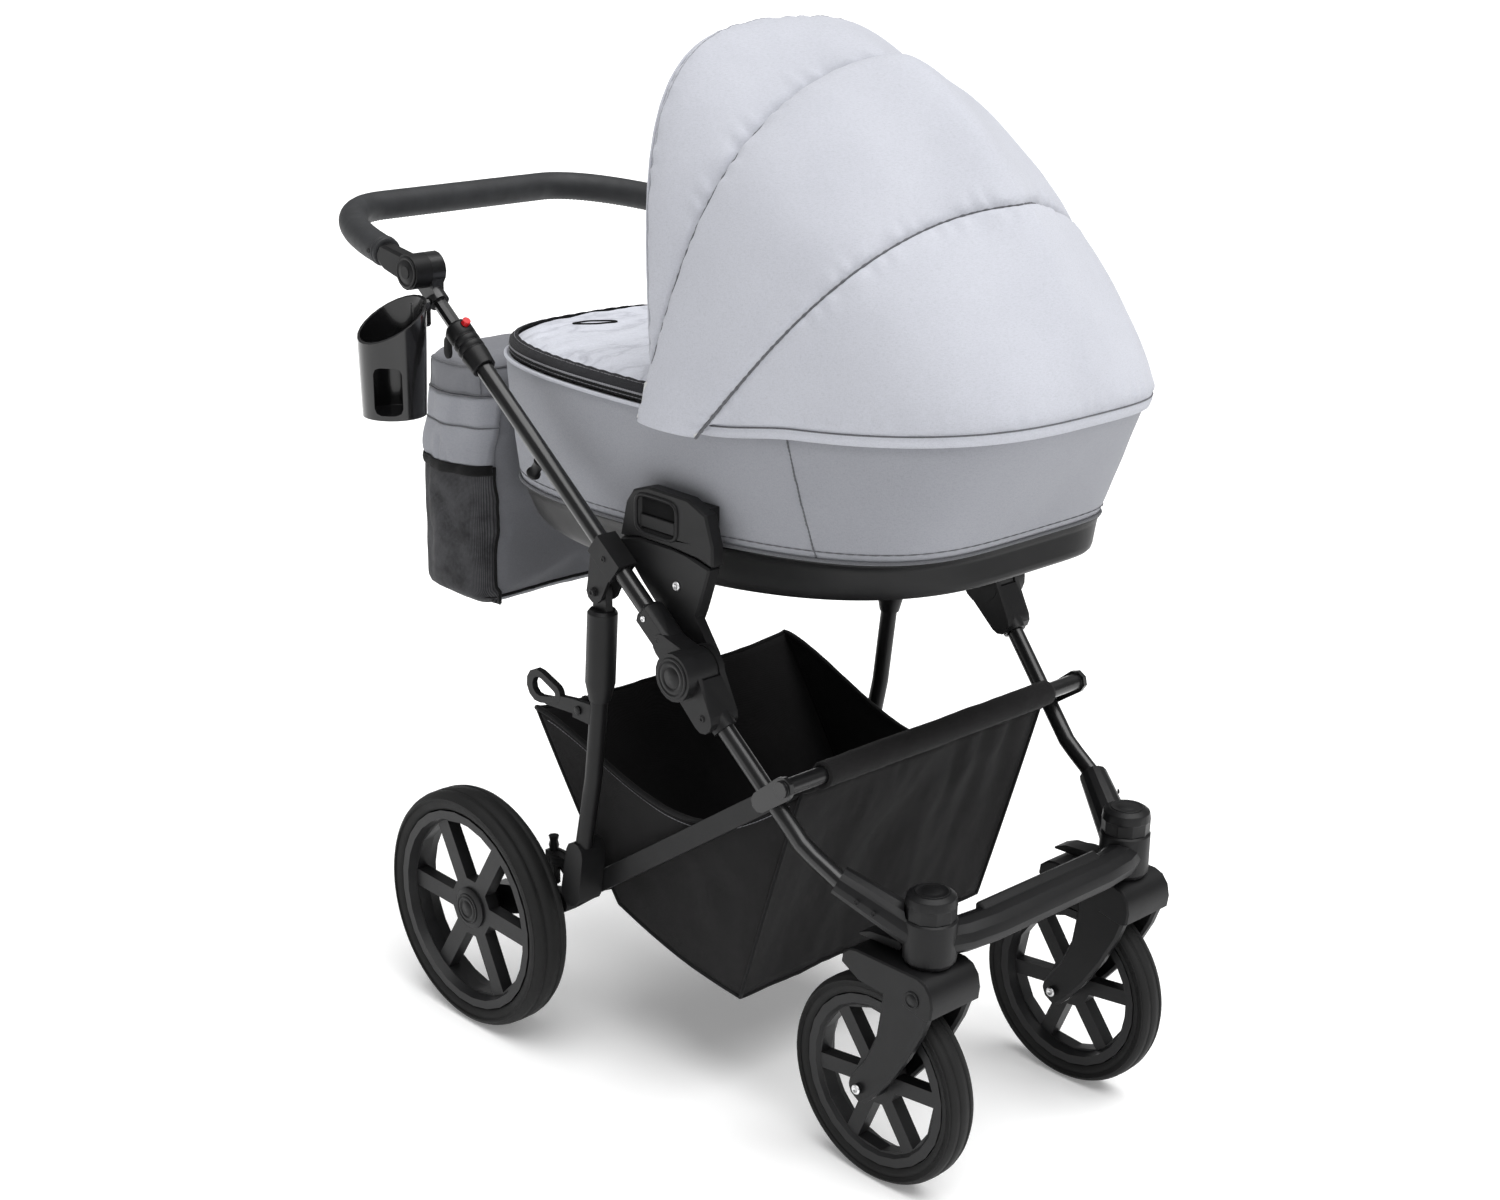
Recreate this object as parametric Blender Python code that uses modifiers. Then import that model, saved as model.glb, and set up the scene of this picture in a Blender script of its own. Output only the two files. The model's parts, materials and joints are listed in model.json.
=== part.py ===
"""Two-in-one pram: carrycot on a folding frame, as separate jointed pieces.

Metres, +Z up, +X is the direction of travel. While it is modelled, x = 0 is the rear axle and
y = 0 the middle plane; at the end the pram is moved so that the origin is the bottom centre of
its box. "left" is +Y and "right" is -Y.
"""
from math import asin, atan2, copysign, cos, degrees, pi, radians, sin, sqrt

import bmesh
import bpy
from mathutils import Matrix, Vector

# Running and seating clearances
GAP = 0.0003            # between pieces that touch
RUN = 0.0003            # radial, round a pin
THROUGH = 0.045         # how far a cutter runs out of the piece it bores

# Carrycot, side view sizes
COT_WALL = 0.007
RIM_FOOT_X = -0.125
RIM_HEAD_X = 0.692
RIM_HALF_Y = 0.2050
RIM_POWER = 3.27
RIM_LIP = 0.0020         # highest edge of the rim's wall above RIM_Z
RIM_Z = 0.812
RIM_RISE = 0.134        # height = RIM_Z + RIM_RISE (x - RIM_RISE_X)^2 towards the head
RIM_RISE_X = 0.190
PIPING_FOOT_X = -0.080
PIPING_HEAD_X = 0.624
PIPING_HALF_Y = 0.185
PIPING_POWER = 4.8
PIPING_CURVE = (0.238, 0.669, 0.05, 0.1485)  # x, height there, slope and curvature
BELLY_SWELL = 1.012     # outward swell halfway up the sides
BELLY_HALF_Y = (PIPING_HALF_Y + RIM_HALF_Y) / 2 * BELLY_SWELL
FLOOR_FOOT_X = -0.074
FLOOR_HEAD_X = 0.632
FLOOR_HALF_Y = 0.160
FLOOR_POWER = 4.6
FLOOR_CURVE = (0.210, 0.605, 0.045, 0.28)
COT_FACETS = 36
MATTRESS_T = 0.040
MATTRESS_IN = (0.024, 0.013)  # drawn in from the floor's ends and sides
MATTRESS_POWER = 4.0
APRON_EDGE_X = 0.262
APRON_HALF_Y = RIM_HALF_Y - 0.0055
APRON_CROWN = 0.020

# Adaptors and the frame stand beside the carrycot's widest part
ADAPTOR_T = 0.0184
COT_TO_ADAPTOR = 0.00616
ADAPTOR_Y = (BELLY_HALF_Y + COT_TO_ADAPTOR, BELLY_HALF_Y + COT_TO_ADAPTOR + ADAPTOR_T)
FOLD_INNER_Y = ADAPTOR_Y[1] + GAP    # innermost face of the fold hinge
FRAME_Y = FOLD_INNER_Y + 0.0178      # side plane of the frame tubes
FOLD_OUTER_Y = FOLD_INNER_Y + 0.0528 # outermost face, the round cap

# Rear wheels
REAR_WHEEL_R = 0.1507
REAR_TYRE_W = 0.050
REAR_RIM_R = 0.1265
REAR_WHEEL_Y = FRAME_Y + 0.0293
REAR_HUB_R = 0.026
REAR_HUB_OUT = 0.0157    # hub cap from the wheel's middle
REAR_SPOKE_W = 0.022
REAR_SPOKE_PHASE = 28
REAR_FACETS = 28
AXLE_R = 0.006
REAR_AXLE = (0.0, REAR_WHEEL_R * cos(pi / REAR_FACETS))

# Front wheels and casters
FRONT_WHEEL_R = 0.1212
FRONT_TYRE_W = 0.037
FRONT_RIM_R = 0.0995
FRONT_HUB_R = 0.017
FRONT_SPOKE_W = 0.018
FRONT_SPOKE_PHASE = 37
FRONT_FACETS = 24
CASTER_X = 0.648
CASTER_Y = 0.164
CASTER_TRAIL = 0.061
FRONT_AXLE = (CASTER_X - CASTER_TRAIL, FRONT_WHEEL_R * cos(pi / FRONT_FACETS))
FORK_GAP_HALF = 0.0245  # inner face of a fork arm from the wheel's middle
FORK_ARM_T = 0.0135
SWIVEL_Z = 0.2835       # plane between fork crown and caster housing
CROWN_DEPTH = 0.042
HOUSING_R = 0.029
HOUSING_TOP_Z = 0.335
KNOB_R = 0.0275
KNOB_TOP_Z = 0.364
KNOB_ROOM = 0.0012      # round the knob where the arm rises behind it
KNOB_FLUTES = 10
STEM_R = 0.008
LOCK_R = 0.0055
SWIVEL_LOCK = (CASTER_X - HOUSING_R - LOCK_R - GAP, SWIVEL_Z + 0.0085)

# Frame tubes
TUBE_R = 0.0105
TUBE_WALL = 0.0014
INNER_TUBE_R = 0.0084
FRONT_TUBE_R = 0.0100
CASTER_ARM_R = 0.0165   # socket round a front tube's end
HOUSING_ARM_R = 0.0225  # the same arm where it meets the caster housing
CROSSBAR_R = 0.0225
CROSSBAR_FLAT = 0.84    # height of the bar against its depth
CROSSBAR_SWEEP = ((0.004, 0.006), (0.0145, 0.034), (0.0190, 0.074))
FRONT_TUBE_BEND = (0.515, FRAME_Y - 0.0195, 0.387)
FRONT_TUBE_END = (0.576, FRAME_Y - 0.0297, 0.3535)
SIDES = 12              # facets round a frame tube
SOCKET_BORE_R = FRONT_TUBE_R / cos(pi / SIDES) + GAP

# Fold hinge, side view (x, z)
FOLD = (0.366, 0.550)
FOLD_DISC_R = 0.027
FOLD_PIN_R = 0.006
CHEEK_T = 0.0080
CAP_T = 0.0190
TUBE_SLOPE = radians(37.8)
TUBE_DROP = 0.009       # tube axis below the fold pivot
UPPER_SOCKET_L = 0.095
SOCKET_HALF = 0.0140
TUBE_TOP = 0.519        # along the tube from the fold hinge
LOWER_SOCKET = (0.403, 0.504)

# Bracket that meets the rear leg
BRACKET_FROM = 0.145
BRACKET_TO = 0.192
LEG_TOP = (0.211, 0.604)
EAR_R = 0.0135
EAR_T = 0.0050
LEG_TONGUE_T = 0.0100

# Release collar at the top of the outer tube
COLLAR_FROM = 0.452
COLLAR_L = 0.066
COLLAR_R = 0.0165
COLLAR_RIBS = 3
RED_AT = COLLAR_FROM + COLLAR_L - 0.010
RED_R = 0.0050
RED_BASE = 0.0155       # inner end of the red button from the tube's axis
RED_TRAVEL = 0.003
PEG_AT = 0.318          # transport peg, along the tube

# Telescopic tubes and the handle
INNER_TUBE_FROM = 0.335
SLEEVE_FROM = 0.556
SLEEVE_R = 0.0125
HANDLE_PIVOT = (-0.101, 0.920)
HANDLE_BOSS_R = 0.021
HANDLE_BOSS_OUT = FRAME_Y + 0.030
HANDLE_ARM_Y = FRAME_Y + 0.0145
GRIP_R = 0.018
HANDLE_TUBE_R = 0.0125
HANDLE_BACK = (-0.3527, 0.9534)
HANDLE_ARM_Z = 0.9254
HANDLE_SWEEP = (0.2482, 0.1265) # length and width of the curve from an arm to the back
HANDLE_TURN = (11, 90)  # degrees of that curve
GRIP_FROM = 0.018       # grip cover from the tube's end
HANDLE_ARM_SWEEP = 0.033 # flat cleared on the sleeve for the turning arm
BUTTON_R = 0.009
HANDLE_JOINT_Y = FRAME_Y + 0.0075 # plane between the joint's two halves

# Lower link, rear leg and basket
LINK_FRONT = (0.470, 0.430)
LINK_REAR = (0.160, 0.217)
LINK_Y = FRAME_Y - 0.0317
LINK_T = 0.008
LINK_H = 0.024
LINK_PIN_R = 0.004
LEG_SLEEVE_R = 0.0175
LEG_SLEEVE_TOP = 0.581
LEG_SLEEVE_LOW = 0.470
CROSS_TUBE_R = 0.009
PEDAL_IN = 0.0133       # pedal's outer face from the right link
PEDAL_W = 0.055
LUG_T = 0.0045
ARM_PIVOT = (0.128, 0.190)
ARM_PIN_R = 0.005
SWING_ARM_OUT = FRAME_Y + 0.0020
SPRING_BACK = 0.032     # suspension post behind the arm's pivot
SPRING_STOP_Z = 0.2005
LEG_PATH = ((0.2097, 0.572), (0.204, 0.482), (0.191, 0.372), (0.171, 0.276))
RING_PIVOT = (0.1765, 0.4520)
RING_T = 0.008
BASKET_BAR = (0.506, 0.457)
BASKET_BAR_R = 0.0095
BAR_PLATE_Y = FRAME_Y - 0.0002
BASKET_WALL = 0.0045
BASKET_REAR_TOP = (0.047, 0.408)
BASKET_SAG_Z = 0.372
BASKET_FRONT_TOP = (0.489, 0.436)
BASKET_FRONT_LOW = (0.400, 0.156)
BASKET_REAR_LOW = (0.190, 0.198)
BASKET_FLOOR_IN = 0.006  # floor edge drawn in from the sides
BASKET_TAPER_X = 0.400
BASKET_TAPER = 0.11

# Hood: three shells turned about one axis across the carrycot
HOOD_PIVOT = (0.300, 0.800)
HOOD_R = (0.401, 0.407, 0.413)
HOOD_HALF_Y = (RIM_HALF_Y + 0.0075, RIM_HALF_Y + 0.0123, RIM_HALF_Y + 0.0171)
HOOD_WALL = 0.0028
HOOD_POWER = 3.0
HOOD_ANGLES = ((41.0, 7.4), (76.0, 39.5), (98.0, 74.5))
HOOD_HUB_R = 0.022
HOOD_PIN_R = 0.005

# Adaptors and catches between frame and carrycot
SPLIT_RISE = 0.117      # parting line of adaptor and catch above the fold hinge
SPLIT_Z = FOLD[1] + SPLIT_RISE
POST_T = 0.007
CATCH_X = 0.280
RECESS_DEPTH = 0.0050

# Cup holder and bag
CUP_CENTRE = (-0.070, -FRAME_Y - 0.075)
CUP_R = 0.041
CUP_BOTTOM_R = 0.037
CUP_BOTTOM_Z = 0.765
CUP_WALL = 0.003
CUP_RIM_LOW = 0.852     # rim on the outer side
CUP_RIM_HIGH = 0.899    # rim on the side of the frame
CUP_WINDOW_TURN = radians(44)
BAG_X = (-0.262, -0.1256)
BAG_HALF_Y = 0.155
BAG_Z = (0.475, 0.800)
BAG_FLAP_HALF_Y = 0.045

SIDES_OF_PRAM = (("left", 1), ("right", -1))
COLLECTION = "two_in_one_pram"
MERGE = 0.00001

MATERIALS = {
    "tube": ((0.035, 0.036, 0.038), 0.42, 0.7),
    "plastic": ((0.030, 0.030, 0.032), 0.55, 0.0),
    "grip": ((0.065, 0.067, 0.070), 0.62, 0.0),
    "tyre": ((0.045, 0.045, 0.047), 0.75, 0.0),
    "rim": ((0.050, 0.050, 0.053), 0.45, 0.0),
    "fabric": ((0.46, 0.47, 0.50), 0.90, 0.0),
    "black_fabric": ((0.028, 0.028, 0.031), 0.90, 0.0),
    "lining": ((0.70, 0.70, 0.69), 0.92, 0.0),
    "red": ((0.55, 0.020, 0.020), 0.40, 0.0),
}


# Scene

def clear_scene():
    for obj in list(bpy.data.objects):
        bpy.data.objects.remove(obj, do_unlink=True)
    for mesh in list(bpy.data.meshes):
        bpy.data.meshes.remove(mesh)


def make_collection():
    collection = bpy.data.collections.new(COLLECTION)
    bpy.context.scene.collection.children.link(collection)
    return collection


def make_materials():
    made = {}
    for name, (colour, roughness, metallic) in MATERIALS.items():
        material = bpy.data.materials.new(name)
        material.use_nodes = True
        shader = material.node_tree.nodes["Principled BSDF"]
        shader.inputs["Base Color"].default_value = (*colour, 1.0)
        shader.inputs["Roughness"].default_value = roughness
        shader.inputs["Metallic"].default_value = metallic
        made[name] = material
    return made


clear_scene()
PRAM = make_collection()
MATERIAL = make_materials()


# Building blocks. Each gives a mesh object whose coordinates are the pram's own.

def new_object(name, data):
    obj = bpy.data.objects.new(name, data)
    PRAM.objects.link(obj)
    return obj


def baked(obj):
    """The evaluated shape of an object as a plain mesh object, its caps welded."""
    bpy.context.view_layer.update()
    evaluated = obj.evaluated_get(bpy.context.evaluated_depsgraph_get())
    mesh = bpy.data.meshes.new_from_object(evaluated)
    mesh.transform(obj.matrix_world)
    bm = bmesh.new()
    bm.from_mesh(mesh)
    bmesh.ops.remove_doubles(bm, verts=bm.verts, dist=MERGE)
    bm.to_mesh(mesh)
    bm.free()
    name = obj.name
    bpy.data.objects.remove(obj, do_unlink=True)
    return new_object(name, mesh)


def from_bmesh(name, bm):
    bmesh.ops.recalc_face_normals(bm, faces=bm.faces)
    mesh = bpy.data.meshes.new(name)
    bm.to_mesh(mesh)
    bm.free()
    return new_object(name, mesh)


def boolean(target, other, operation):
    modifier = target.modifiers.new(operation.lower(), "BOOLEAN")
    modifier.object = other
    modifier.operation = operation
    modifier.solver = "EXACT"
    result = baked(target)
    bpy.data.objects.remove(other, do_unlink=True)
    return result


def union(target, *others):
    for other in others:
        target = boolean(target, other, "UNION")
    return target


def cut(target, *others):
    for other in others:
        target = boolean(target, other, "DIFFERENCE")
    return target


def aligned(direction):
    """Rotation that turns +Z to a direction."""
    return Vector((0, 0, 1)).rotation_difference(Vector(direction)).to_matrix().to_4x4()


def rod(name, start, end, radius, facets=16, end_radius=None):
    start = Vector(start)
    end = Vector(end)
    bm = bmesh.new()
    place = Matrix.Translation((start + end) / 2) @ aligned(end - start)
    bmesh.ops.create_cone(bm, cap_ends=True, segments=facets, radius1=radius,
                          radius2=radius if end_radius is None else end_radius,
                          depth=(end - start).length, matrix=place)
    return from_bmesh(name, bm)


def cross_rod(name, xz, y_from, y_to, radius, facets=16):
    return rod(name, (xz[0], y_from, xz[1]), (xz[0], y_to, xz[1]), radius, facets)


def box(name, low, high):
    bm = bmesh.new()
    size = Vector(high) - Vector(low)
    middle = (Vector(high) + Vector(low)) / 2
    bmesh.ops.create_cube(bm, size=1.0, matrix=Matrix.Translation(middle) @ Matrix.Diagonal((*size, 1)))
    return from_bmesh(name, bm)


def bevelled(obj, width, segments=2, angle=40):
    modifier = obj.modifiers.new("edges", "BEVEL")
    modifier.width = width
    modifier.segments = segments
    modifier.limit_method = "ANGLE"
    modifier.angle_limit = radians(angle)
    return baked(obj)


def turned(name, profile, facets, axis_point, axis, phase=0.0):
    """Profile of (radius, height) run top to bottom round the outer side, turned about an axis."""
    mesh = bpy.data.meshes.new(name)
    bm = bmesh.new()
    verts = [bm.verts.new((radius, 0, height)) for radius, height in profile]
    for first, second in zip(verts, verts[1:]):
        bm.edges.new((first, second))
    bm.to_mesh(mesh)
    bm.free()
    obj = new_object(name, mesh)
    screw = obj.modifiers.new("turn", "SCREW")
    screw.steps = facets
    screw.render_steps = facets
    screw.use_merge_vertices = True
    screw.merge_threshold = MERGE
    obj.matrix_world = (Matrix.Translation(axis_point) @ aligned(axis)
                        @ Matrix.Rotation(phase, 4, "Z"))
    return closed(baked(obj))


def closed(obj):
    """Welds the seam and turns every face outwards."""
    bm = bmesh.new()
    bm.from_mesh(obj.data)
    bmesh.ops.remove_doubles(bm, verts=bm.verts, dist=MERGE)
    bmesh.ops.recalc_face_normals(bm, faces=bm.faces)
    bm.to_mesh(obj.data)
    bm.free()
    return obj


def plate(name, outline, y_from, y_to):
    """An outline in the side view (x, z) as a flat plate between two side planes."""
    curve = bpy.data.curves.new(name, "CURVE")
    curve.dimensions = "2D"
    curve.fill_mode = "BOTH"
    curve.extrude = abs(y_to - y_from) / 2
    spline = curve.splines.new("POLY")
    spline.points.add(len(outline) - 1)
    spline.use_cyclic_u = True
    for point, (x, z) in zip(spline.points, outline):
        point.co = (x, z, 0, 1)
    obj = new_object(name, curve)
    obj.location = (0, (y_from + y_to) / 2, 0)
    obj.rotation_euler = (pi / 2, 0, 0)
    return closed(baked(obj))


def pipe(name, points, radius, sides=SIDES):
    curve = bpy.data.curves.new(name, "CURVE")
    curve.dimensions = "3D"
    curve.bevel_depth = radius
    curve.bevel_resolution = (sides - 4) // 2
    curve.use_fill_caps = True
    spline = curve.splines.new("POLY")
    spline.points.add(len(points) - 1)
    for point, place in zip(spline.points, points):
        point.co = (*place, 1)
    return closed(baked(new_object(name, curve)))


def loft(name, rings):
    """Skin over rings of equal count, with the first and the last ring filled."""
    bm = bmesh.new()
    rows = [[bm.verts.new(point) for point in ring] for ring in rings]
    count = len(rows[0])
    for lower, upper in zip(rows, rows[1:]):
        for i in range(count):
            j = (i + 1) % count
            bm.faces.new((lower[i], lower[j], upper[j], upper[i]))
    bm.faces.new(rows[0])
    bm.faces.new(rows[-1])
    return from_bmesh(name, bm)


def arc(centre, radius, start, end, steps):
    """Points on an arc in a plane, angles in degrees."""
    turns = [radians(start + (end - start) * i / steps) for i in range(steps + 1)]
    return [(centre[0] + radius * cos(a), centre[1] + radius * sin(a)) for a in turns]


def capsule(first, second, r_first, r_second, steps=6):
    """Outline round two circles joined by straight sides."""
    heading = degrees(atan2(second[1] - first[1], second[0] - first[0]))
    length = sqrt((second[0] - first[0]) ** 2 + (second[1] - first[1]) ** 2)
    lean = degrees(asin((r_first - r_second) / length))
    return (arc(second, r_second, heading - 90 + lean, heading + 90 - lean, steps)
            + arc(first, r_first, heading + 90 - lean, heading + 270 + lean, steps))


def superellipse(x_low, x_high, half_y, power, count=COT_FACETS):
    middle = (x_low + x_high) / 2
    half_x = (x_high - x_low) / 2
    points = []
    for i in range(count):
        a = 2 * pi * i / count
        x = middle + half_x * copysign(abs(cos(a)) ** (2 / power), cos(a))
        y = half_y * copysign(abs(sin(a)) ** (2 / power), sin(a))
        points.append((x, y))
    return points


def scaled(outline, factor):
    """An outline drawn in towards its middle."""
    cx = sum(x for x, y in outline) / len(outline)
    cy = sum(y for x, y in outline) / len(outline)
    return [(cx + (x - cx) * factor, cy + (y - cy) * factor) for x, y in outline]


def along_tube(distance, rise=0.0):
    """Side-view point at a distance up the outer tube from the fold hinge."""
    x = FOLD[0] - (TUBE_DROP - rise) * sin(TUBE_SLOPE) - distance * cos(TUBE_SLOPE)
    z = FOLD[1] - (TUBE_DROP - rise) * cos(TUBE_SLOPE) + distance * sin(TUBE_SLOPE)
    return (x, z)


def mirrored(obj):
    """Copy of an object reflected in the pram's middle plane."""
    copy = new_object(obj.name, obj.data.copy())
    copy.data.transform(Matrix.Diagonal((1, -1, 1, 1)))
    copy.data.flip_normals()
    return copy


def pair(obj):
    return obj, mirrored(obj)


def thickened(obj, thickness, inside=None):
    """Gives an open skin a wall on its inner side."""
    modifier = obj.modifiers.new("wall", "SOLIDIFY")
    modifier.thickness = thickness
    modifier.offset = -1.0
    if inside is not None:
        face = max(obj.data.polygons, key=lambda f: (f.center - Vector(inside)).length)
        if face.normal.dot(face.center - Vector(inside)) < 0:
            modifier.offset = 1.0
    return closed(baked(obj))


def at(xz, y):
    return (xz[0], y, xz[1])


# Bodies: an empty on each joint's axis carries the pieces that move with it

def body(name, location, parent=None):
    empty = bpy.data.objects.new(name, None)
    empty.empty_display_size = 0.03
    PRAM.objects.link(empty)
    empty.parent = parent
    own = Vector(location)
    empty.location = own - (Vector(parent["place"]) if parent else Vector())
    empty["place"] = tuple(own)
    return empty


def bodies(name, location, parents):
    """Left and right empties at mirrored places."""
    x, y, z = location
    return tuple(body(f"{name}_{side}", (x, y * sign, z), parent)
                 for (side, sign), parent in zip(SIDES_OF_PRAM, parents))


def fit(obj, name, material, carrier, smooth=35):
    """Names, colours and hangs a finished piece on its body."""
    place = Vector(carrier["place"])
    obj.name = name
    obj.data.name = name
    obj.data.transform(Matrix.Translation(-place))
    obj.parent = carrier
    obj.data.materials.clear()
    obj.data.materials.append(MATERIAL[material])
    obj.data.shade_smooth()
    obj.data.set_sharp_from_angle(angle=radians(smooth))
    return obj


def fit_both(obj, name, material, carriers, smooth=35):
    """Hangs a left-hand piece and its mirror image."""
    left, right = pair(obj)
    fit(left, f"{name}_left", material, carriers[0], smooth)
    fit(right, f"{name}_right", material, carriers[1], smooth)


# Wheels

def tyre_profile(radius, inner, width):
    half = width / 2
    return [(inner, half * 0.80), (radius - 0.010, half), (radius, half * 0.52),
            (radius, -half * 0.52), (radius - 0.010, -half), (inner, -half * 0.80),
            (inner, half * 0.80)]


def spoke_window(centre, inner, outer, spoke_w, middle, y_from, y_to):
    """Cutter between two spokes of a six-spoke wheel."""
    points = []
    for radius, steps in ((outer, 2), (inner, 1)):
        half = 30 - degrees(asin(spoke_w / 2 / radius))
        turn = arc(centre, radius, middle - half, middle + half, steps)
        points += turn if radius == outer else turn[::-1]
    return plate("window", points, y_from, y_to)


def spoked_rim(centre, y, rim_r, hub_r, half_w, spoke_w, phase, hub_in, hub_out, capped, facets):
    """Rim, web and hub turned as one, with six windows cut between the spokes."""
    edge = half_w - 0.0035
    bore = AXLE_R + RUN
    profile = [(hub_r * 0.8, hub_out), (hub_r, hub_out - 0.003), (hub_r, 0.010),
               (rim_r - 0.014, 0.011), (rim_r - 0.0105, edge), (rim_r, edge),
               (rim_r, -edge), (rim_r - 0.0105, -edge), (rim_r - 0.014, -0.005),
               (hub_r * 0.9, -0.006), (0.0135, -hub_in), (bore, -hub_in)]
    if capped:
        profile = [(0, hub_out)] + profile + [(bore, hub_out - 0.006), (0, hub_out - 0.006)]
    else:
        profile = [(bore, hub_out)] + profile + [(bore, hub_out)]
    rim = turned("rim", profile, facets, at(centre, y), (0, 1, 0), pi / facets)
    for i in range(6):
        rim = cut(rim, spoke_window(centre, hub_r + 0.012, rim_r - 0.0155, spoke_w,
                                    phase + 60 * i, y - 0.04, y + 0.04))
    return rim


def rear_wheel(carriers):
    tyre = turned("tyre", tyre_profile(REAR_WHEEL_R, REAR_RIM_R + GAP, REAR_TYRE_W), REAR_FACETS,
                  at(REAR_AXLE, REAR_WHEEL_Y), (0, 1, 0), pi / REAR_FACETS)
    fit_both(tyre, "rear_tyre", "tyre", carriers, 50)
    rim = spoked_rim(REAR_AXLE, REAR_WHEEL_Y, REAR_RIM_R, REAR_HUB_R, REAR_TYRE_W / 2,
                     REAR_SPOKE_W, REAR_SPOKE_PHASE, REAR_WHEEL_Y - SWING_ARM_OUT - GAP,
                     REAR_HUB_OUT, True, REAR_FACETS)
    fit_both(rim, "rear_rim", "rim", carriers)


def front_wheel(carriers):
    tyre = turned("tyre", tyre_profile(FRONT_WHEEL_R, FRONT_RIM_R + GAP, FRONT_TYRE_W),
                  FRONT_FACETS, at(FRONT_AXLE, CASTER_Y), (0, 1, 0), pi / FRONT_FACETS)
    fit_both(tyre, "front_tyre", "tyre", carriers, 50)
    rim = spoked_rim(FRONT_AXLE, CASTER_Y, FRONT_RIM_R, FRONT_HUB_R, FRONT_TYRE_W / 2,
                     FRONT_SPOKE_W, FRONT_SPOKE_PHASE, FORK_GAP_HALF - GAP, FORK_GAP_HALF - GAP,
                     False, FRONT_FACETS)
    fit_both(rim, "front_rim", "rim", carriers)


# Front frame

def front_tube_path():
    """Left front tube: straight from the fold socket, then bent forward to the caster arm."""
    start = Vector(at(LOWER_SOCKET, FRAME_Y))
    bend = Vector(FRONT_TUBE_BEND)
    end = Vector(FRONT_TUBE_END)
    return [start, start.lerp(bend, 0.84), bend.lerp(start, 0.02), bend.lerp(end, 0.22), end]


def front_tube(carriers):
    tube = pipe("tube", front_tube_path(), FRONT_TUBE_R)
    hole = cross_rod("hole", LINK_FRONT, FRAME_Y - THROUGH, FRAME_Y + THROUGH, LINK_PIN_R + RUN, 10)
    fit_both(cut(tube, hole), "front_tube", "tube", carriers)


def lower_socket(carriers):
    """Two cheeks and the hinge pin, with the socket that holds the front tube's top end."""
    path = front_tube_path()
    top = path[0]
    down = (path[1] - top).normalized()
    inner_face = FOLD_INNER_Y + CHEEK_T
    outer_face = FOLD_OUTER_Y - CAP_T
    block = plate("block", capsule(FOLD, (top.x - 0.004, top.z + 0.003), FOLD_DISC_R - 0.002,
                                   SOCKET_HALF + 0.001, 5), FOLD_INNER_Y + GAP, outer_face + 0.006)
    relief = cross_rod("relief", FOLD, inner_face - GAP, outer_face + GAP, FOLD_DISC_R + 0.001, 16)
    inner = cross_rod("inner", FOLD, FOLD_INNER_Y, inner_face, FOLD_DISC_R, 16)
    cap = cross_rod("cap", FOLD, outer_face, FOLD_OUTER_Y, FOLD_DISC_R, 18)
    pin = cross_rod("pin", FOLD, FOLD_INNER_Y + 0.004, FOLD_OUTER_Y - 0.010, FOLD_PIN_R, 12)
    collar = rod("collar", top - down * 0.010, top + down * 0.012, SOCKET_HALF + 0.0012, 16,
                 SOCKET_HALF)
    bore = rod("bore", top - down * GAP, top + down * 0.040, SOCKET_BORE_R, SIDES)
    socket = cut(union(cut(block, relief), inner, cap, pin, collar), bore)
    fit_both(socket, "lower_socket", "plastic", carriers)


def caster_crossbar(carrier):
    """Two caster housings, the arms that hold the front tubes, and the bar between them."""
    housing = turned("housing", [(0, HOUSING_TOP_Z), (HOUSING_R - 0.002, HOUSING_TOP_Z),
                                 (HOUSING_R, HOUSING_TOP_Z - 0.002),
                                 (HOUSING_R, SWIVEL_Z + 0.005), (HOUSING_R - 0.003, SWIVEL_Z),
                                 (0, SWIVEL_Z)], 16, (CASTER_X, CASTER_Y, 0), (0, 0, 1))
    tube = front_tube_path()
    end = tube[-1]
    heading = (end - tube[-2]).normalized()
    middle_z = (SWIVEL_Z + HOUSING_TOP_Z) / 2
    arm = rod("arm", end - heading * 0.018, (CASTER_X, CASTER_Y, middle_z), CASTER_ARM_R, 14,
              HOUSING_ARM_R)
    socket = rod("socket", end - heading * 0.030, end + heading * GAP, SOCKET_BORE_R, SIDES)
    stem_bore = rod("stem_bore", (CASTER_X, CASTER_Y, SWIVEL_Z - 0.01),
                    (CASTER_X, CASTER_Y, HOUSING_TOP_Z + 0.01), STEM_R + RUN, 14)
    seat = rod("seat", (CASTER_X, CASTER_Y, HOUSING_TOP_Z), (CASTER_X, CASTER_Y, KNOB_TOP_Z),
               KNOB_R + KNOB_ROOM, 20)
    half = cut(union(housing, arm), socket, seat)
    path = [(CASTER_X + out, CASTER_Y - inward, 0.0) for out, inward in CROSSBAR_SWEEP]
    path = path + [(x, -y, z) for x, y, z in reversed(path)]
    bar = pipe("bar", path, CROSSBAR_R, 12)
    bar.data.transform(Matrix.Translation((0, 0, middle_z)) @ Matrix.Diagonal((1, 1, CROSSBAR_FLAT, 1)))
    front_x = CASTER_X + CROSSBAR_SWEEP[-1][0]
    lip = plate("lip", [(front_x - 0.016, middle_z + 0.004), (front_x + 0.004, middle_z + 0.016),
                        (front_x - 0.004, middle_z + 0.0205), (front_x - 0.010, middle_z + 0.0235),
                        (front_x - 0.016, middle_z + 0.0215)], -CASTER_Y * 0.60, CASTER_Y * 0.60)
    bar = union(bar, bevelled(lip, 0.0025, 1, 50))
    shape = union(bar, mirrored(half), half)
    shape = cut(shape, mirrored(stem_bore), stem_bore)
    fit(shape, "caster_crossbar", "plastic", carrier)


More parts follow.
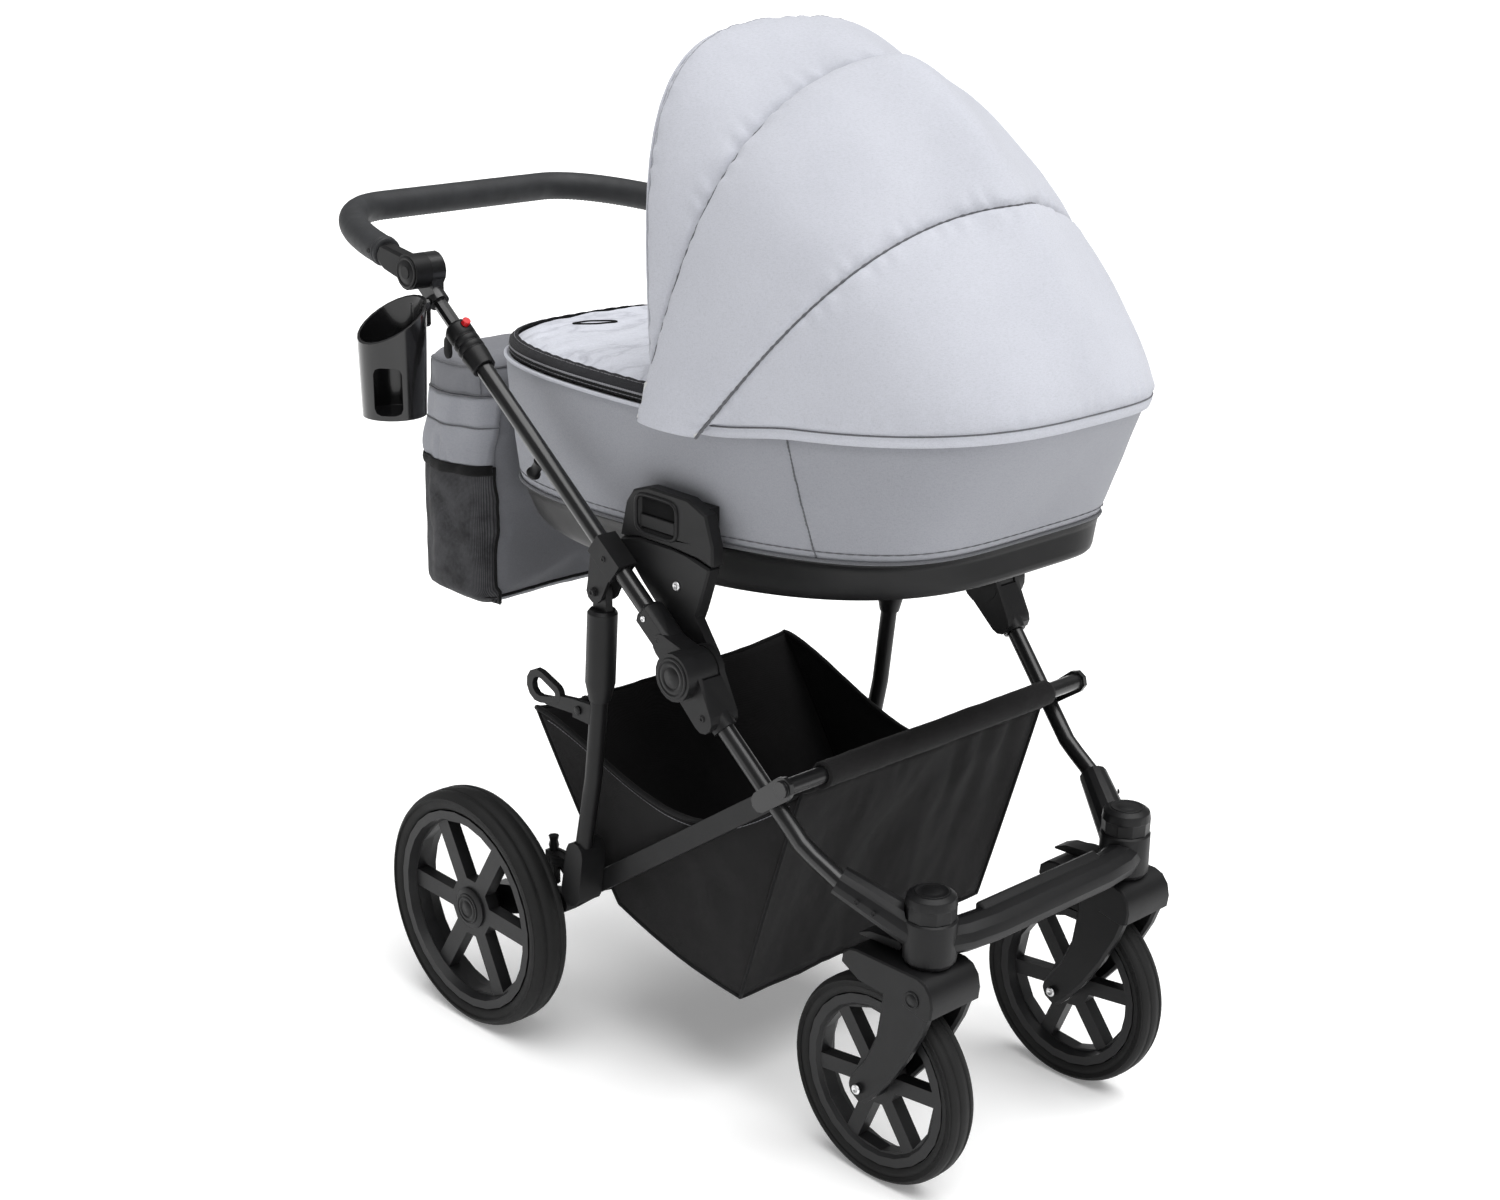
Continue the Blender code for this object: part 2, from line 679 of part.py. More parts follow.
def basket_bar(carrier):
    """Bar across the basket's front, with end plates whose pins carry the lower links."""
    plate_out = BAR_PLATE_Y + 0.0055
    bar = cross_rod("bar", BASKET_BAR, -plate_out - 0.004, plate_out + 0.004, BASKET_BAR_R, 12)
    ear = plate("ear", capsule(LINK_FRONT, BASKET_BAR, 0.0115, 0.0135, 4), BAR_PLATE_Y, plate_out)
    pin = cross_rod("pin", LINK_FRONT, LINK_Y - 0.003, plate_out - 0.002, LINK_PIN_R, 10)
    head = cross_rod("head", LINK_FRONT, LINK_Y - 0.0055, LINK_Y - RUN, LINK_PIN_R + 0.003, 10)
    end = union(ear, pin, head)
    fit(union(bar, mirrored(end), end), "basket_bar", "tube", carrier)


def adaptor(carriers):
    """Tray adaptor on the fold hinge's inner face; a post on it enters the carrycot's catch."""
    near, far = ADAPTOR_Y
    outline = [(0.3120, 0.5710), (0.3330, 0.5740), (0.3480, 0.6080), (0.3600, 0.6420),
               (0.3660, SPLIT_Z - 0.007), (0.3400, SPLIT_Z - 0.001), (0.2980, SPLIT_Z + 0.003),
               (0.2500, SPLIT_Z + 0.003), (0.2200, SPLIT_Z - 0.003), (0.2180, SPLIT_Z - 0.010),
               (0.2600, SPLIT_Z - 0.051)]
    shape = bevelled(plate("adaptor", outline, near, far), 0.0022, 1, 60)
    foot = plate("foot", capsule((FOLD[0] - 0.006, FOLD[1] + 0.006), (0.330, 0.600), 0.014, 0.012, 4),
                 near + 0.006, FOLD_INNER_Y - GAP)
    middle = (near + far) / 2
    post = plate("post", [(0.268, SPLIT_Z - 0.007), (0.318, SPLIT_Z - 0.007), (0.314, SPLIT_Z + 0.030),
                          (0.272, SPLIT_Z + 0.030)], middle - POST_T / 2, middle + POST_T / 2)
    fit_both(union(shape, foot, post), "adaptor", "plastic", carriers)


def fluted_ring(centre, radius, depth, height, flutes):
    """Points of a knurled edge: every second point lies in a flute."""
    points = []
    for i in range(2 * flutes):
        a = pi * i / flutes
        r = radius - (depth if i % 2 else 0.0)
        points.append((centre[0] + r * cos(a), centre[1] + r * sin(a), height))
    return points


def caster_knob(carriers):
    """Knurled lock knob on top of a caster housing."""
    base = HOUSING_TOP_Z + GAP
    centre = (CASTER_X, CASTER_Y)
    rings = [fluted_ring(centre, KNOB_R, 0.0013, base, KNOB_FLUTES),
             fluted_ring(centre, KNOB_R, 0.0013, base + 0.014, KNOB_FLUTES),
             fluted_ring(centre, KNOB_R + 0.0006, 0.0, base + 0.0155, KNOB_FLUTES),
             fluted_ring(centre, KNOB_R - 0.001, 0.0, KNOB_TOP_Z - 0.004, KNOB_FLUTES),
             fluted_ring(centre, KNOB_R - 0.007, 0.0, KNOB_TOP_Z, KNOB_FLUTES)]
    fit_both(loft("knob", rings), "caster_knob", "plastic", carriers)


def swivel_lock(carriers):
    """Tab behind a caster housing that locks the fork straight ahead."""
    x = SWIVEL_LOCK[0]
    outline = arc(SWIVEL_LOCK, LOCK_R, -90, 90, 4) + [(x - 0.041, SWIVEL_Z + 0.0105),
                                                    (x - 0.056, SWIVEL_Z + 0.0040),
                                                    (x - 0.056, SWIVEL_Z + 0.0015),
                                                    (x - 0.038, SWIVEL_Z + 0.0020)]
    tab = plate("tab", outline, CASTER_Y - 0.012, CASTER_Y + 0.012)
    fit_both(tab, "swivel_lock", "plastic", carriers)


def caster_fork(carriers):
    """Crown over the wheel, two trailing arms and the stem that turns in the housing."""
    y = CASTER_Y
    top = SWIVEL_Z - GAP
    axle_z = FRONT_AXLE[1]
    x = CASTER_X
    outline = ([(x - 0.030, top - 0.006), (x - 0.034, axle_z + 0.110), (x - 0.040, axle_z + 0.072),
                (x - 0.054, axle_z + 0.040)] + arc(FRONT_AXLE, 0.018, 150, 330, 5)
               + [(x - 0.020, axle_z + 0.022), (x + 0.005, axle_z + 0.060), (x + 0.024, axle_z + 0.096),
                  (x + 0.035, axle_z + 0.126), (x + 0.037, top - 0.018), (x + 0.030, top - 0.006)])
    near = FORK_GAP_HALF
    far = FORK_GAP_HALF + FORK_ARM_T
    outer = bevelled(plate("arm", outline, y + near, y + far), 0.0045, 1, 60)
    inner = bevelled(plate("arm", outline, y - far, y - near), 0.0045, 1, 60)
    crown = plate("crown", [(x - 0.092, top - 0.022), (x - 0.090, top - 0.010), (x - 0.080, top - 0.002),
                            (x - 0.070, top), (x + 0.018, top), (x + 0.029, top - 0.004),
                            (x + 0.037, top - 0.014), (x + 0.040, top - 0.028),
                            (x + 0.038, top - CROWN_DEPTH), (x + 0.030, top - CROWN_DEPTH - 0.004),
                            (x - 0.010, top - CROWN_DEPTH + 0.004), (x - 0.068, top - 0.034)],
                  y - far - 0.0008, y + far + 0.0008)
    crown = bevelled(crown, 0.006, 1, 60)
    stem = rod("stem", (CASTER_X, y, top - 0.004), (CASTER_X, y, HOUSING_TOP_Z - 0.004), STEM_R, 14)
    axle_rod = cross_rod("axle", FRONT_AXLE, y - far - 0.004, y + far + 0.004, AXLE_R, 12)
    fit_both(union(crown, outer, inner, stem, axle_rod), "caster_fork", "plastic", carriers)


# Upper frame

def side_tube(carriers):
    """Outer tube, open for the telescopic tube, with the transport peg under it."""
    low = along_tube(0.0355)
    high = along_tube(TUBE_TOP)
    direction = Vector(at(high, 0)) - Vector(at(low, 0))
    length = direction.length
    inner = TUBE_R - TUBE_WALL
    tube = turned("tube", [(inner, length), (TUBE_R, length), (TUBE_R, 0), (inner, 0),
                           (inner, length)], SIDES, at(low, FRAME_Y), direction)
    peg = rod("peg", at(along_tube(PEG_AT, 0.0006 - TUBE_R), FRAME_Y),
              at(along_tube(PEG_AT, -TUBE_R - 0.014), FRAME_Y), 0.0055, 10)
    fit_both(union(tube, peg), "side_tube", "tube", carriers)


def clamp_outline(start, end, half):
    """Side view of a block round the outer tube."""
    return [along_tube(start, -half), along_tube(start, half), along_tube(end, half),
            along_tube(end, -half)]


def upper_socket(carriers):
    """Tongue that turns between the lower socket's cheeks, and the socket for the outer tube."""
    tongue_in = FOLD_INNER_Y + CHEEK_T + GAP
    tongue_out = FOLD_OUTER_Y - CAP_T - GAP
    disc = cross_rod("disc", FOLD, tongue_in, tongue_out, FOLD_DISC_R - 0.0015, 16)
    web = plate("web", capsule(FOLD, along_tube(0.045), FOLD_DISC_R - 0.004, SOCKET_HALF - 0.0005, 5),
                tongue_in + GAP, tongue_out - 2 * GAP)
    sleeve = plate("sleeve", clamp_outline(0.038, UPPER_SOCKET_L, SOCKET_HALF),
                   FRAME_Y - SOCKET_HALF, FRAME_Y + SOCKET_HALF)
    sleeve = bevelled(sleeve, 0.005, 1, 60)
    bore = rod("bore", at(along_tube(0.035), FRAME_Y),
               at(along_tube(UPPER_SOCKET_L + 0.01), FRAME_Y), TUBE_R + GAP, SIDES)
    pin_hole = cross_rod("pin_hole", FOLD, FRAME_Y - THROUGH, FRAME_Y + THROUGH, FOLD_PIN_R + RUN, 12)
    socket = cut(union(disc, web, sleeve), bore, pin_hole)
    fit_both(socket, "upper_socket", "plastic", carriers)


def leg_bracket(carriers):
    """Clamp round the outer tube with two ears beside the rear leg's top."""
    half = TUBE_R + 0.0030
    clamp = plate("clamp", clamp_outline(BRACKET_FROM, BRACKET_TO, half),
                  FRAME_Y - half, FRAME_Y + half)
    ear_outline = (arc(LEG_TOP, EAR_R, 150, 325, 5)
                   + [along_tube(BRACKET_FROM + 0.003, -half * 0.6),
                      along_tube(BRACKET_TO - 0.003, -half * 0.6)])
    shapes = []
    for s in (-1, 1):
        near = FRAME_Y + s * (half - EAR_T)
        far = FRAME_Y + s * (half - GAP)
        shapes.append(plate("ear", ear_outline, near, far))
        shapes.append(cross_rod("bolt", LEG_TOP, far - s * 0.002, far + s * 0.003, 0.0055, 8))
    bore = rod("bore", at(along_tube(BRACKET_FROM - 0.02), FRAME_Y),
               at(along_tube(BRACKET_TO + 0.02), FRAME_Y), TUBE_R + GAP, SIDES)
    fit_both(cut(union(clamp, *shapes), bore), "leg_bracket", "plastic", carriers)


def release_collar(carriers):
    """Ribbed collar that slides up the outer tube to unlock the fold."""
    length = COLLAR_L
    bore = TUBE_R + GAP
    profile = [(bore, length), (COLLAR_R - 0.003, length), (COLLAR_R, length - 0.004)]
    for i in range(COLLAR_RIBS):
        z = length - 0.018 - i * 0.0095
        profile += [(COLLAR_R, z), (COLLAR_R - 0.0020, z - 0.0035), (COLLAR_R, z - 0.0055)]
    profile += [(COLLAR_R - 0.002, 0.0), (bore, 0.0), (bore, length)]
    collar = turned("collar", profile, SIDES, at(along_tube(COLLAR_FROM), FRAME_Y),
                    Vector(at(along_tube(1.0), 0)) - Vector(at(along_tube(0.0), 0)))
    left, right = pair(collar)
    well = rod("well", at(along_tube(RED_AT, RED_BASE - RED_TRAVEL - GAP), -FRAME_Y),
               at(along_tube(RED_AT, COLLAR_R + 0.005), -FRAME_Y), RED_R + RUN, 12)
    fit(left, "release_collar_left", "plastic", carriers[0])
    fit(cut(right, well), "release_collar_right", "plastic", carriers[1])


def red_button(carrier):
    """Second lock on the right collar, pressed in before the collar slides."""
    button = rod("button", at(along_tube(RED_AT, RED_BASE), -FRAME_Y),
                 at(along_tube(RED_AT, COLLAR_R + 0.0055), -FRAME_Y), RED_R, 12)
    fit(button, "red_lock_button", "red", carrier)


# Telescopic tubes and handle

def telescopic_tube(carriers):
    """Inner tube and its top sleeve, with the fixed half of the handle's angle joint."""
    tube = rod("tube", at(along_tube(INNER_TUBE_FROM), FRAME_Y),
               at(along_tube(SLEEVE_FROM + 0.030), FRAME_Y), INNER_TUBE_R, 10)
    sleeve = rod("sleeve", at(along_tube(SLEEVE_FROM), FRAME_Y),
                 at(along_tube(SLEEVE_FROM + 0.044), FRAME_Y), SLEEVE_R, 14)
    disc = cross_rod("disc", HANDLE_PIVOT, FRAME_Y - SLEEVE_R + 0.0008, HANDLE_JOINT_Y - GAP,
                     HANDLE_BOSS_R, 16)
    neck = plate("neck", capsule(HANDLE_PIVOT, along_tube(SLEEVE_FROM + 0.020),
                                 HANDLE_BOSS_R - 0.003, SLEEVE_R - 0.001, 4),
                 FRAME_Y - 0.0095, HANDLE_JOINT_Y - 2 * GAP)
    relief = cross_rod("relief", HANDLE_PIVOT, HANDLE_JOINT_Y - GAP, FRAME_Y + THROUGH,
                       HANDLE_ARM_SWEEP, 16)
    socket = cross_rod("socket", HANDLE_PIVOT, HANDLE_JOINT_Y - 0.008, FRAME_Y + THROUGH,
                       BUTTON_R, 14)
    shape = cut(union(sleeve, disc, neck, tube), relief, socket)
    fit_both(shape, "telescopic_tube", "tube", carriers)


def handle_path():
    """Tube's middle line: right arm, the wide curve to the back, and the left arm."""
    steps = 5
    length, width = HANDLE_SWEEP
    half = []
    for i in range(steps + 1):
        a = radians(HANDLE_TURN[0] + (HANDLE_TURN[1] - HANDLE_TURN[0]) * i / steps)
        half.append(Vector((HANDLE_BACK[0] + length * (1 - sin(a)),
                            -HANDLE_ARM_Y + width * (1 - cos(a)),
                            HANDLE_ARM_Z + (HANDLE_BACK[1] - HANDLE_ARM_Z) * sin(a))))
    return half + [Vector((p.x, -p.y, p.z)) for p in reversed(half)]


def handle_bar(carrier):
    """U-shaped tube with the moving halves of the angle joint at its ends."""
    path = handle_path()
    bar = pipe("bar", path, HANDLE_TUBE_R, 10)
    boss = cross_rod("boss", HANDLE_PIVOT, HANDLE_JOINT_Y, HANDLE_BOSS_OUT, HANDLE_BOSS_R, 16)
    arm = plate("arm", capsule(HANDLE_PIVOT, (path[0].x, path[0].z), HANDLE_BOSS_R * 0.78,
                                0.0140, 4),
                HANDLE_JOINT_Y + GAP, HANDLE_BOSS_OUT - 0.002)
    arm = bevelled(arm, 0.004, 1, 60)
    hole = cross_rod("hole", HANDLE_PIVOT, HANDLE_JOINT_Y - 0.01, HANDLE_BOSS_OUT + 0.01,
                     BUTTON_R - 0.001 + RUN, 14)
    end = cut(union(arm, boss), hole)
    fit(union(bar, mirrored(end), end), "handle_bar", "plastic", carrier)


def handle_grip(carrier):
    """Padded cover round the U, a sleeve over the bar."""
    path = handle_path()
    first = (path[1] - path[0]).normalized()
    last = (path[-2] - path[-1]).normalized()
    covered = [path[0] + first * GRIP_FROM] + path[1:-1] + [path[-1] + last * GRIP_FROM]
    cover = pipe("cover", covered, GRIP_R, 10)
    core = pipe("core", path, HANDLE_TUBE_R + GAP, 10)
    fit(cut(cover, core), "handle_grip", "grip", carrier, 60)


def handle_button(carriers):
    """Side button that frees the handle's angle joint."""
    button = cross_rod("button", HANDLE_PIVOT, HANDLE_JOINT_Y + 0.004, HANDLE_BOSS_OUT + 0.003,
                       BUTTON_R - 0.001, 14)
    fit_both(button, "handle_button", "plastic", carriers)


def cup_holder(carrier):
    """Open cup with a slanted rim and a window, on a bracket beside the right sleeve."""
    cx, cy = CUP_CENTRE
    top = CUP_RIM_HIGH + 0.002
    profile = [(CUP_R - CUP_WALL, top), (CUP_R, top), (CUP_BOTTOM_R, CUP_BOTTOM_Z),
               (0, CUP_BOTTOM_Z), (0, CUP_BOTTOM_Z + CUP_WALL),
               (CUP_BOTTOM_R - CUP_WALL, CUP_BOTTOM_Z + CUP_WALL), (CUP_R - CUP_WALL, top)]
    cup = turned("cup", profile, 24, (cx, cy, 0), (0, 0, 1))
    lean = atan2(CUP_RIM_HIGH - CUP_RIM_LOW, 2 * CUP_R)
    slant = box("slant", (-2 * CUP_R, -2 * CUP_R, 0), (2 * CUP_R, 2 * CUP_R, 2 * CUP_R))
    rim_middle = (cx, cy, (CUP_RIM_LOW + CUP_RIM_HIGH) / 2)
    slant.data.transform(Matrix.Translation(rim_middle) @ Matrix.Rotation(lean, 4, "X"))
    window = bevelled(box("window", (-0.0165, -1.5 * CUP_R, 0.006), (0.0165, 0, 0.062)), 0.008, 2, 40)
    window.data.transform(Matrix.Translation((cx, cy, CUP_BOTTOM_Z))
                          @ Matrix.Rotation(CUP_WINDOW_TURN, 4, "Z"))
    cup = cut(cup, slant, window)
    clamp_at = along_tube(SLEEVE_FROM + 0.014)
    bracket = box("bracket", (clamp_at[0] - 0.012, cy + CUP_R - 0.006, clamp_at[1] - 0.034),
                  (clamp_at[0] + 0.014, -(FRAME_Y + SLEEVE_R + GAP), clamp_at[1] - 0.002))
    fit(union(cup, bevelled(bracket, 0.003, 1, 40)), "cup_holder", "plastic", carrier)


# Lower links, basket, rear legs and suspension

def lower_link(carriers):
    link = plate("link", capsule(LINK_REAR, LINK_FRONT, LINK_H / 2, LINK_H / 2, 5),
                 LINK_Y, LINK_Y + LINK_T)
    front = cross_rod("front", LINK_FRONT, LINK_Y - THROUGH, LINK_Y + THROUGH, LINK_PIN_R + RUN, 10)
    rear = cross_rod("rear", LINK_REAR, LINK_Y - THROUGH, LINK_Y + THROUGH, AXLE_R + RUN, 10)
    fit_both(cut(link, front, rear), "lower_link", "tube", carriers)


def basket_half_y(x):
    """The basket's sides run just inside the links and draw in between the front tubes."""
    return LINK_Y - GAP - BASKET_TAPER * max(0.0, x - BASKET_TAPER_X)


def basket(carrier):
    """Fabric tub whose sides sag between its corners, open at the top."""
    steps = 6
    dip = (BASKET_REAR_TOP[1] + BASKET_FRONT_TOP[1]) / 2 - BASKET_SAG_Z
    top = []
    bottom = []
    for i in range(steps + 1):
        u = i / steps
        top.append((BASKET_REAR_TOP[0] + (BASKET_FRONT_TOP[0] - BASKET_REAR_TOP[0]) * u,
                    BASKET_REAR_TOP[1] + (BASKET_FRONT_TOP[1] - BASKET_REAR_TOP[1]) * u
                    - dip * sin(pi * u)))
        bottom.append((BASKET_REAR_LOW[0] + (BASKET_FRONT_LOW[0] - BASKET_REAR_LOW[0]) * u,
                       BASKET_REAR_LOW[1] + (BASKET_FRONT_LOW[1] - BASKET_REAR_LOW[1]) * u
                       - 0.008 * sin(pi * u)))
    middle = [((tx + bx) / 2, (tz + bz) / 2) for (tx, tz), (bx, bz) in zip(top, bottom)]

    def row(points, draw_in):
        right = [(x, draw_in - basket_half_y(x), z) for x, z in points]
        return right + [(x, -y, z) for x, y, z in reversed(right)]

    bm = bmesh.new()
    rows = [[bm.verts.new(p) for p in points]
            for points in (row(bottom, BASKET_FLOOR_IN), row(middle, 0.002), row(top, 0.0))]
    count = len(rows[0])
    for lower, upper in zip(rows, rows[1:]):
        for i in range(count):
            j = (i + 1) % count
            bm.faces.new((lower[i], lower[j], upper[j], upper[i]))
    for i in range(count // 2 - 1):
        bm.faces.new((rows[0][i], rows[0][i + 1], rows[0][count - 2 - i], rows[0][count - 1 - i]))
    tub = from_bmesh("basket", bm)
    fit(thickened(tub, BASKET_WALL), "basket", "black_fabric", carrier, 60)


def rear_leg(carriers):
    """Tube with a plastic sleeve at the top; the tongue on it stands between the ears."""
    tube = pipe("tube", [at(p, FRAME_Y) for p in LEG_PATH], TUBE_R)
    top_x = LEG_PATH[0][0]
    tongue = plate("tongue", capsule((top_x, LEG_SLEEVE_TOP - 0.012), LEG_TOP, 0.0120, 0.0105, 5),
                   FRAME_Y - LEG_TONGUE_T / 2, FRAME_Y + LEG_TONGUE_T / 2)
    foot = Vector((LEG_PATH[1][0] - 0.0008, FRAME_Y, LEG_SLEEVE_LOW))
    head = Vector((top_x + 0.0004, FRAME_Y, LEG_SLEEVE_TOP))
    length = (head - foot).length
    sleeve = turned("sleeve", [(0, length), (LEG_SLEEVE_R - 0.003, length),
                               (LEG_SLEEVE_R, length - 0.004), (LEG_SLEEVE_R, 0.022),
                               (TUBE_R + 0.002, 0), (0, 0)], 16, foot, head - foot)
    left, right = pair(union(tube, sleeve, tongue))
    fit(left, "rear_leg_left", "tube", carriers[0])
    fit(union(right, ring_clip()), "rear_leg_right", "tube", carriers[1])


def ring_clip():
    """Fork on the right leg's back whose pin carries the ring lever."""
    x, z = RING_PIVOT
    clip = plate("clip", [(x - 0.0105, z + 0.011), (x + 0.022, z + 0.013), (x + 0.019, z - 0.012),
                          (x - 0.0105, z - 0.011)], -FRAME_Y - 0.0098, -FRAME_Y + 0.0098)
    slot = box("slot", (x - 0.03, -FRAME_Y - RING_T / 2 - RUN, z - 0.03),
               (x + 0.0118, -FRAME_Y + RING_T / 2 + RUN, z + 0.03))
    pin = cross_rod("pin", RING_PIVOT, -FRAME_Y - 0.0108, -FRAME_Y + 0.0108, LINK_PIN_R, 10)
    return union(cut(clip, slot), pin)


def ring_lever(carrier):
    """Finger ring on an arm pivoted behind the right leg."""
    x, z = RING_PIVOT
    middle = (x - 0.082, z + 0.006)
    y_in = -FRAME_Y - RING_T / 2
    y_out = -FRAME_Y + RING_T / 2
    arm = plate("arm", capsule(RING_PIVOT, (middle[0] + 0.014, middle[1] - 0.012), 0.0095, 0.0070, 4),
                y_in + 0.0002, y_out - 0.0002)
    ring = plate("ring", capsule((middle[0] + 0.030, middle[1] - 0.002), middle, 0.0120, 0.0205, 7),
                 y_in, y_out)
    hole = plate("hole", capsule((middle[0] + 0.028, middle[1] - 0.003),
                                 (middle[0] + 0.002, middle[1]), 0.0045, 0.0115, 6),
                 y_in - 0.01, y_out + 0.01)
    bore = cross_rod("bore", RING_PIVOT, y_in - THROUGH, y_out + THROUGH, LINK_PIN_R + RUN, 10)
    fit(cut(union(arm, ring), hole, bore), "ring_lever", "plastic", carrier)


def rear_crossmember(carrier):
    """Cross tube on the links' rear axis, with a bracket at each end for leg and suspension."""
    y_in = LINK_Y + LINK_T + GAP
    leg_end = LEG_PATH[-1]
    spring = (ARM_PIVOT[0] - SPRING_BACK, ARM_PIVOT[1] + 0.045)
    bar = cross_rod("bar", LINK_REAR, -(LINK_Y - GAP), LINK_Y - GAP, CROSS_TUBE_R, 12)
    pin = cross_rod("pin", LINK_REAR, LINK_Y - 0.003, y_in + 0.003, AXLE_R, 10)
    socket = plate("socket", capsule(LINK_REAR, (leg_end[0] - 0.002, leg_end[1] - 0.006),
                                     0.0160, 0.0148, 5), y_in + 0.0006, FRAME_Y + 0.0130)
    lug = plate("lug", arc(LINK_REAR, 0.0155, -70, 70, 5) + [(0.140, spring[1] + 0.0085)]
                + arc(spring, 0.0085, 90, 250, 4) + [(0.114, ARM_PIVOT[1] + 0.018)]
                + arc(ARM_PIVOT, 0.0125, 140, 290, 5), y_in, y_in + LUG_T)
    shelf = plate("shelf", [(spring[0] - 0.0080, spring[1] - 0.008), (0.140, spring[1] - 0.004),
                            (0.152, spring[1] + 0.0065), (spring[0] - 0.0080, spring[1] + 0.0080)],
                  y_in + 0.0004, y_in + 0.0150)
    post = turned("post", [(0, 0.264), (0.0065, 0.262), (0.0050, 0.2555), (0.0065, 0.250),
                           (0.0050, 0.2435), (0.0072, 0.236), (0.0072, SPRING_STOP_Z),
                           (0, SPRING_STOP_Z)],
                  8, (spring[0], y_in + 0.0080, 0), (0, 0, 1))
    pivot_pin = cross_rod("pivot_pin", ARM_PIVOT, y_in + 0.002, SWING_ARM_OUT + 0.0012,
                          ARM_PIN_R, 10)
    direction = (Vector(at(LEG_PATH[-2], 0)) - Vector(at(leg_end, 0))).normalized()
    end = Vector(at(leg_end, FRAME_Y))
    hollow = rod("hollow", end - direction * GAP, end + direction * 0.05, TUBE_R + GAP, SIDES)
    half = union(cut(union(socket, lug, shelf), hollow), post, pivot_pin, pin)
    fit(union(bar, mirrored(half), half), "rear_crossmember", "plastic", carrier)


def swing_arm(carriers):
    """Sprung arm from the bracket back to the wheel, with the axle stub."""
    y_in = LINK_Y + LINK_T + GAP + LUG_T + GAP
    arm = plate("arm", capsule(ARM_PIVOT, REAR_AXLE, 0.0130, 0.0200, 5), y_in, SWING_ARM_OUT)
    pocket = cross_rod("pocket", ARM_PIVOT, y_in - THROUGH, y_in + THROUGH, ARM_PIN_R + RUN, 10)
    stub = cross_rod("stub", REAR_AXLE, y_in + 0.002, REAR_WHEEL_Y + 0.009, AXLE_R, 14)
    fit_both(union(cut(arm, pocket), stub), "swing_arm", "plastic", carriers)


def brake_pedal(carrier):
    """Foot pedal clamped round the cross tube behind the right wheel."""
    y_from = -(LINK_Y - PEDAL_IN)
    y_to = y_from + PEDAL_W
    reach = (LINK_REAR[0] - 0.064, LINK_REAR[1] - 0.040)
    hub = plate("hub", capsule(LINK_REAR, reach, CROSS_TUBE_R + 0.0040, 0.0050, 4),
                y_from + GAP, y_from + 0.014)
    pad = plate("pad", capsule((reach[0] + 0.022, reach[1] + 0.014), reach, 0.0060, 0.0064, 4),
                y_from, y_to)
    bore = cross_rod("bore", LINK_REAR, y_from - THROUGH, y_to + THROUGH,
                     CROSS_TUBE_R / cos(pi / 12) + RUN, 12)
    fit(cut(union(hub, pad), bore), "brake_pedal", "plastic", carrier)


# Carrycot

def on_curve(curve, x):
    """Height of a parabola given by a point, its slope and its curvature."""
    start, height, slope, bend = curve
    return height + slope * (x - start) + bend * (x - start) ** 2


def rim_z(x):
    return RIM_Z + RIM_RISE * max(0.0, x - RIM_RISE_X) ** 2


def piping_z(x):
    return on_curve(PIPING_CURVE, x)


def floor_z(x):
    return on_curve(FLOOR_CURVE, x)


def belly_z(x):
    return (piping_z(x) + rim_z(x)) / 2


def cot_side_y(z):
    """Half width of the carrycot's long side at a height."""
    low, middle, top = piping_z(CATCH_X), belly_z(CATCH_X), rim_z(CATCH_X)
    if z < middle:
        return PIPING_HALF_Y + (BELLY_HALF_Y - PIPING_HALF_Y) * (z - low) / (middle - low)
    return BELLY_HALF_Y + (RIM_HALF_Y - BELLY_HALF_Y) * (z - middle) / (top - middle)


def skin(name, rings, apex_low=None, apex_high=None):
    """Rings of equal count joined by quads, with a fan of faces to each end point given."""
    bm = bmesh.new()
    rows = [[bm.verts.new(p) for p in ring] for ring in rings]
    count = len(rows[0])
    for lower, upper in zip(rows, rows[1:]):
        for i in range(count):
            j = (i + 1) % count
            bm.faces.new((lower[i], lower[j], upper[j], upper[i]))
    for row, apex in ((rows[0], apex_low), (rows[-1], apex_high)):
        if apex is None:
            continue
        tip = bm.verts.new(apex)
        for i in range(count):
            bm.faces.new((tip, row[i], row[(i + 1) % count]))
    return from_bmesh(name, bm)


def cot_shell(carrier):
    """Carrycot body from its curved floor up to the rim, open at the top."""
    floor = superellipse(FLOOR_FOOT_X, FLOOR_HEAD_X, FLOOR_HALF_Y, FLOOR_POWER)
    piping = superellipse(PIPING_FOOT_X, PIPING_HEAD_X, PIPING_HALF_Y, PIPING_POWER)
    rim = superellipse(RIM_FOOT_X, RIM_HEAD_X, RIM_HALF_Y, RIM_POWER)
    rings = [[(x, y, floor_z(x)) for x, y in scaled(floor, factor)] for factor in (0.5, 1.0)]
    rings.append([(x, y, piping_z(x)) for x, y in piping])
    rings.append([((px + rx) / 2, (py + ry) / 2 * BELLY_SWELL, belly_z((px + rx) / 2))
                  for (px, py), (rx, ry) in zip(piping, rim)])
    rings.append([(x, y, rim_z(x)) for x, y in rim])
    middle_x = (FLOOR_FOOT_X + FLOOR_HEAD_X) / 2
    shell = skin("shell", rings, (middle_x, 0, floor_z(middle_x)))
    fit(thickened(shell, COT_WALL), "cot_shell", "fabric", carrier, 40)


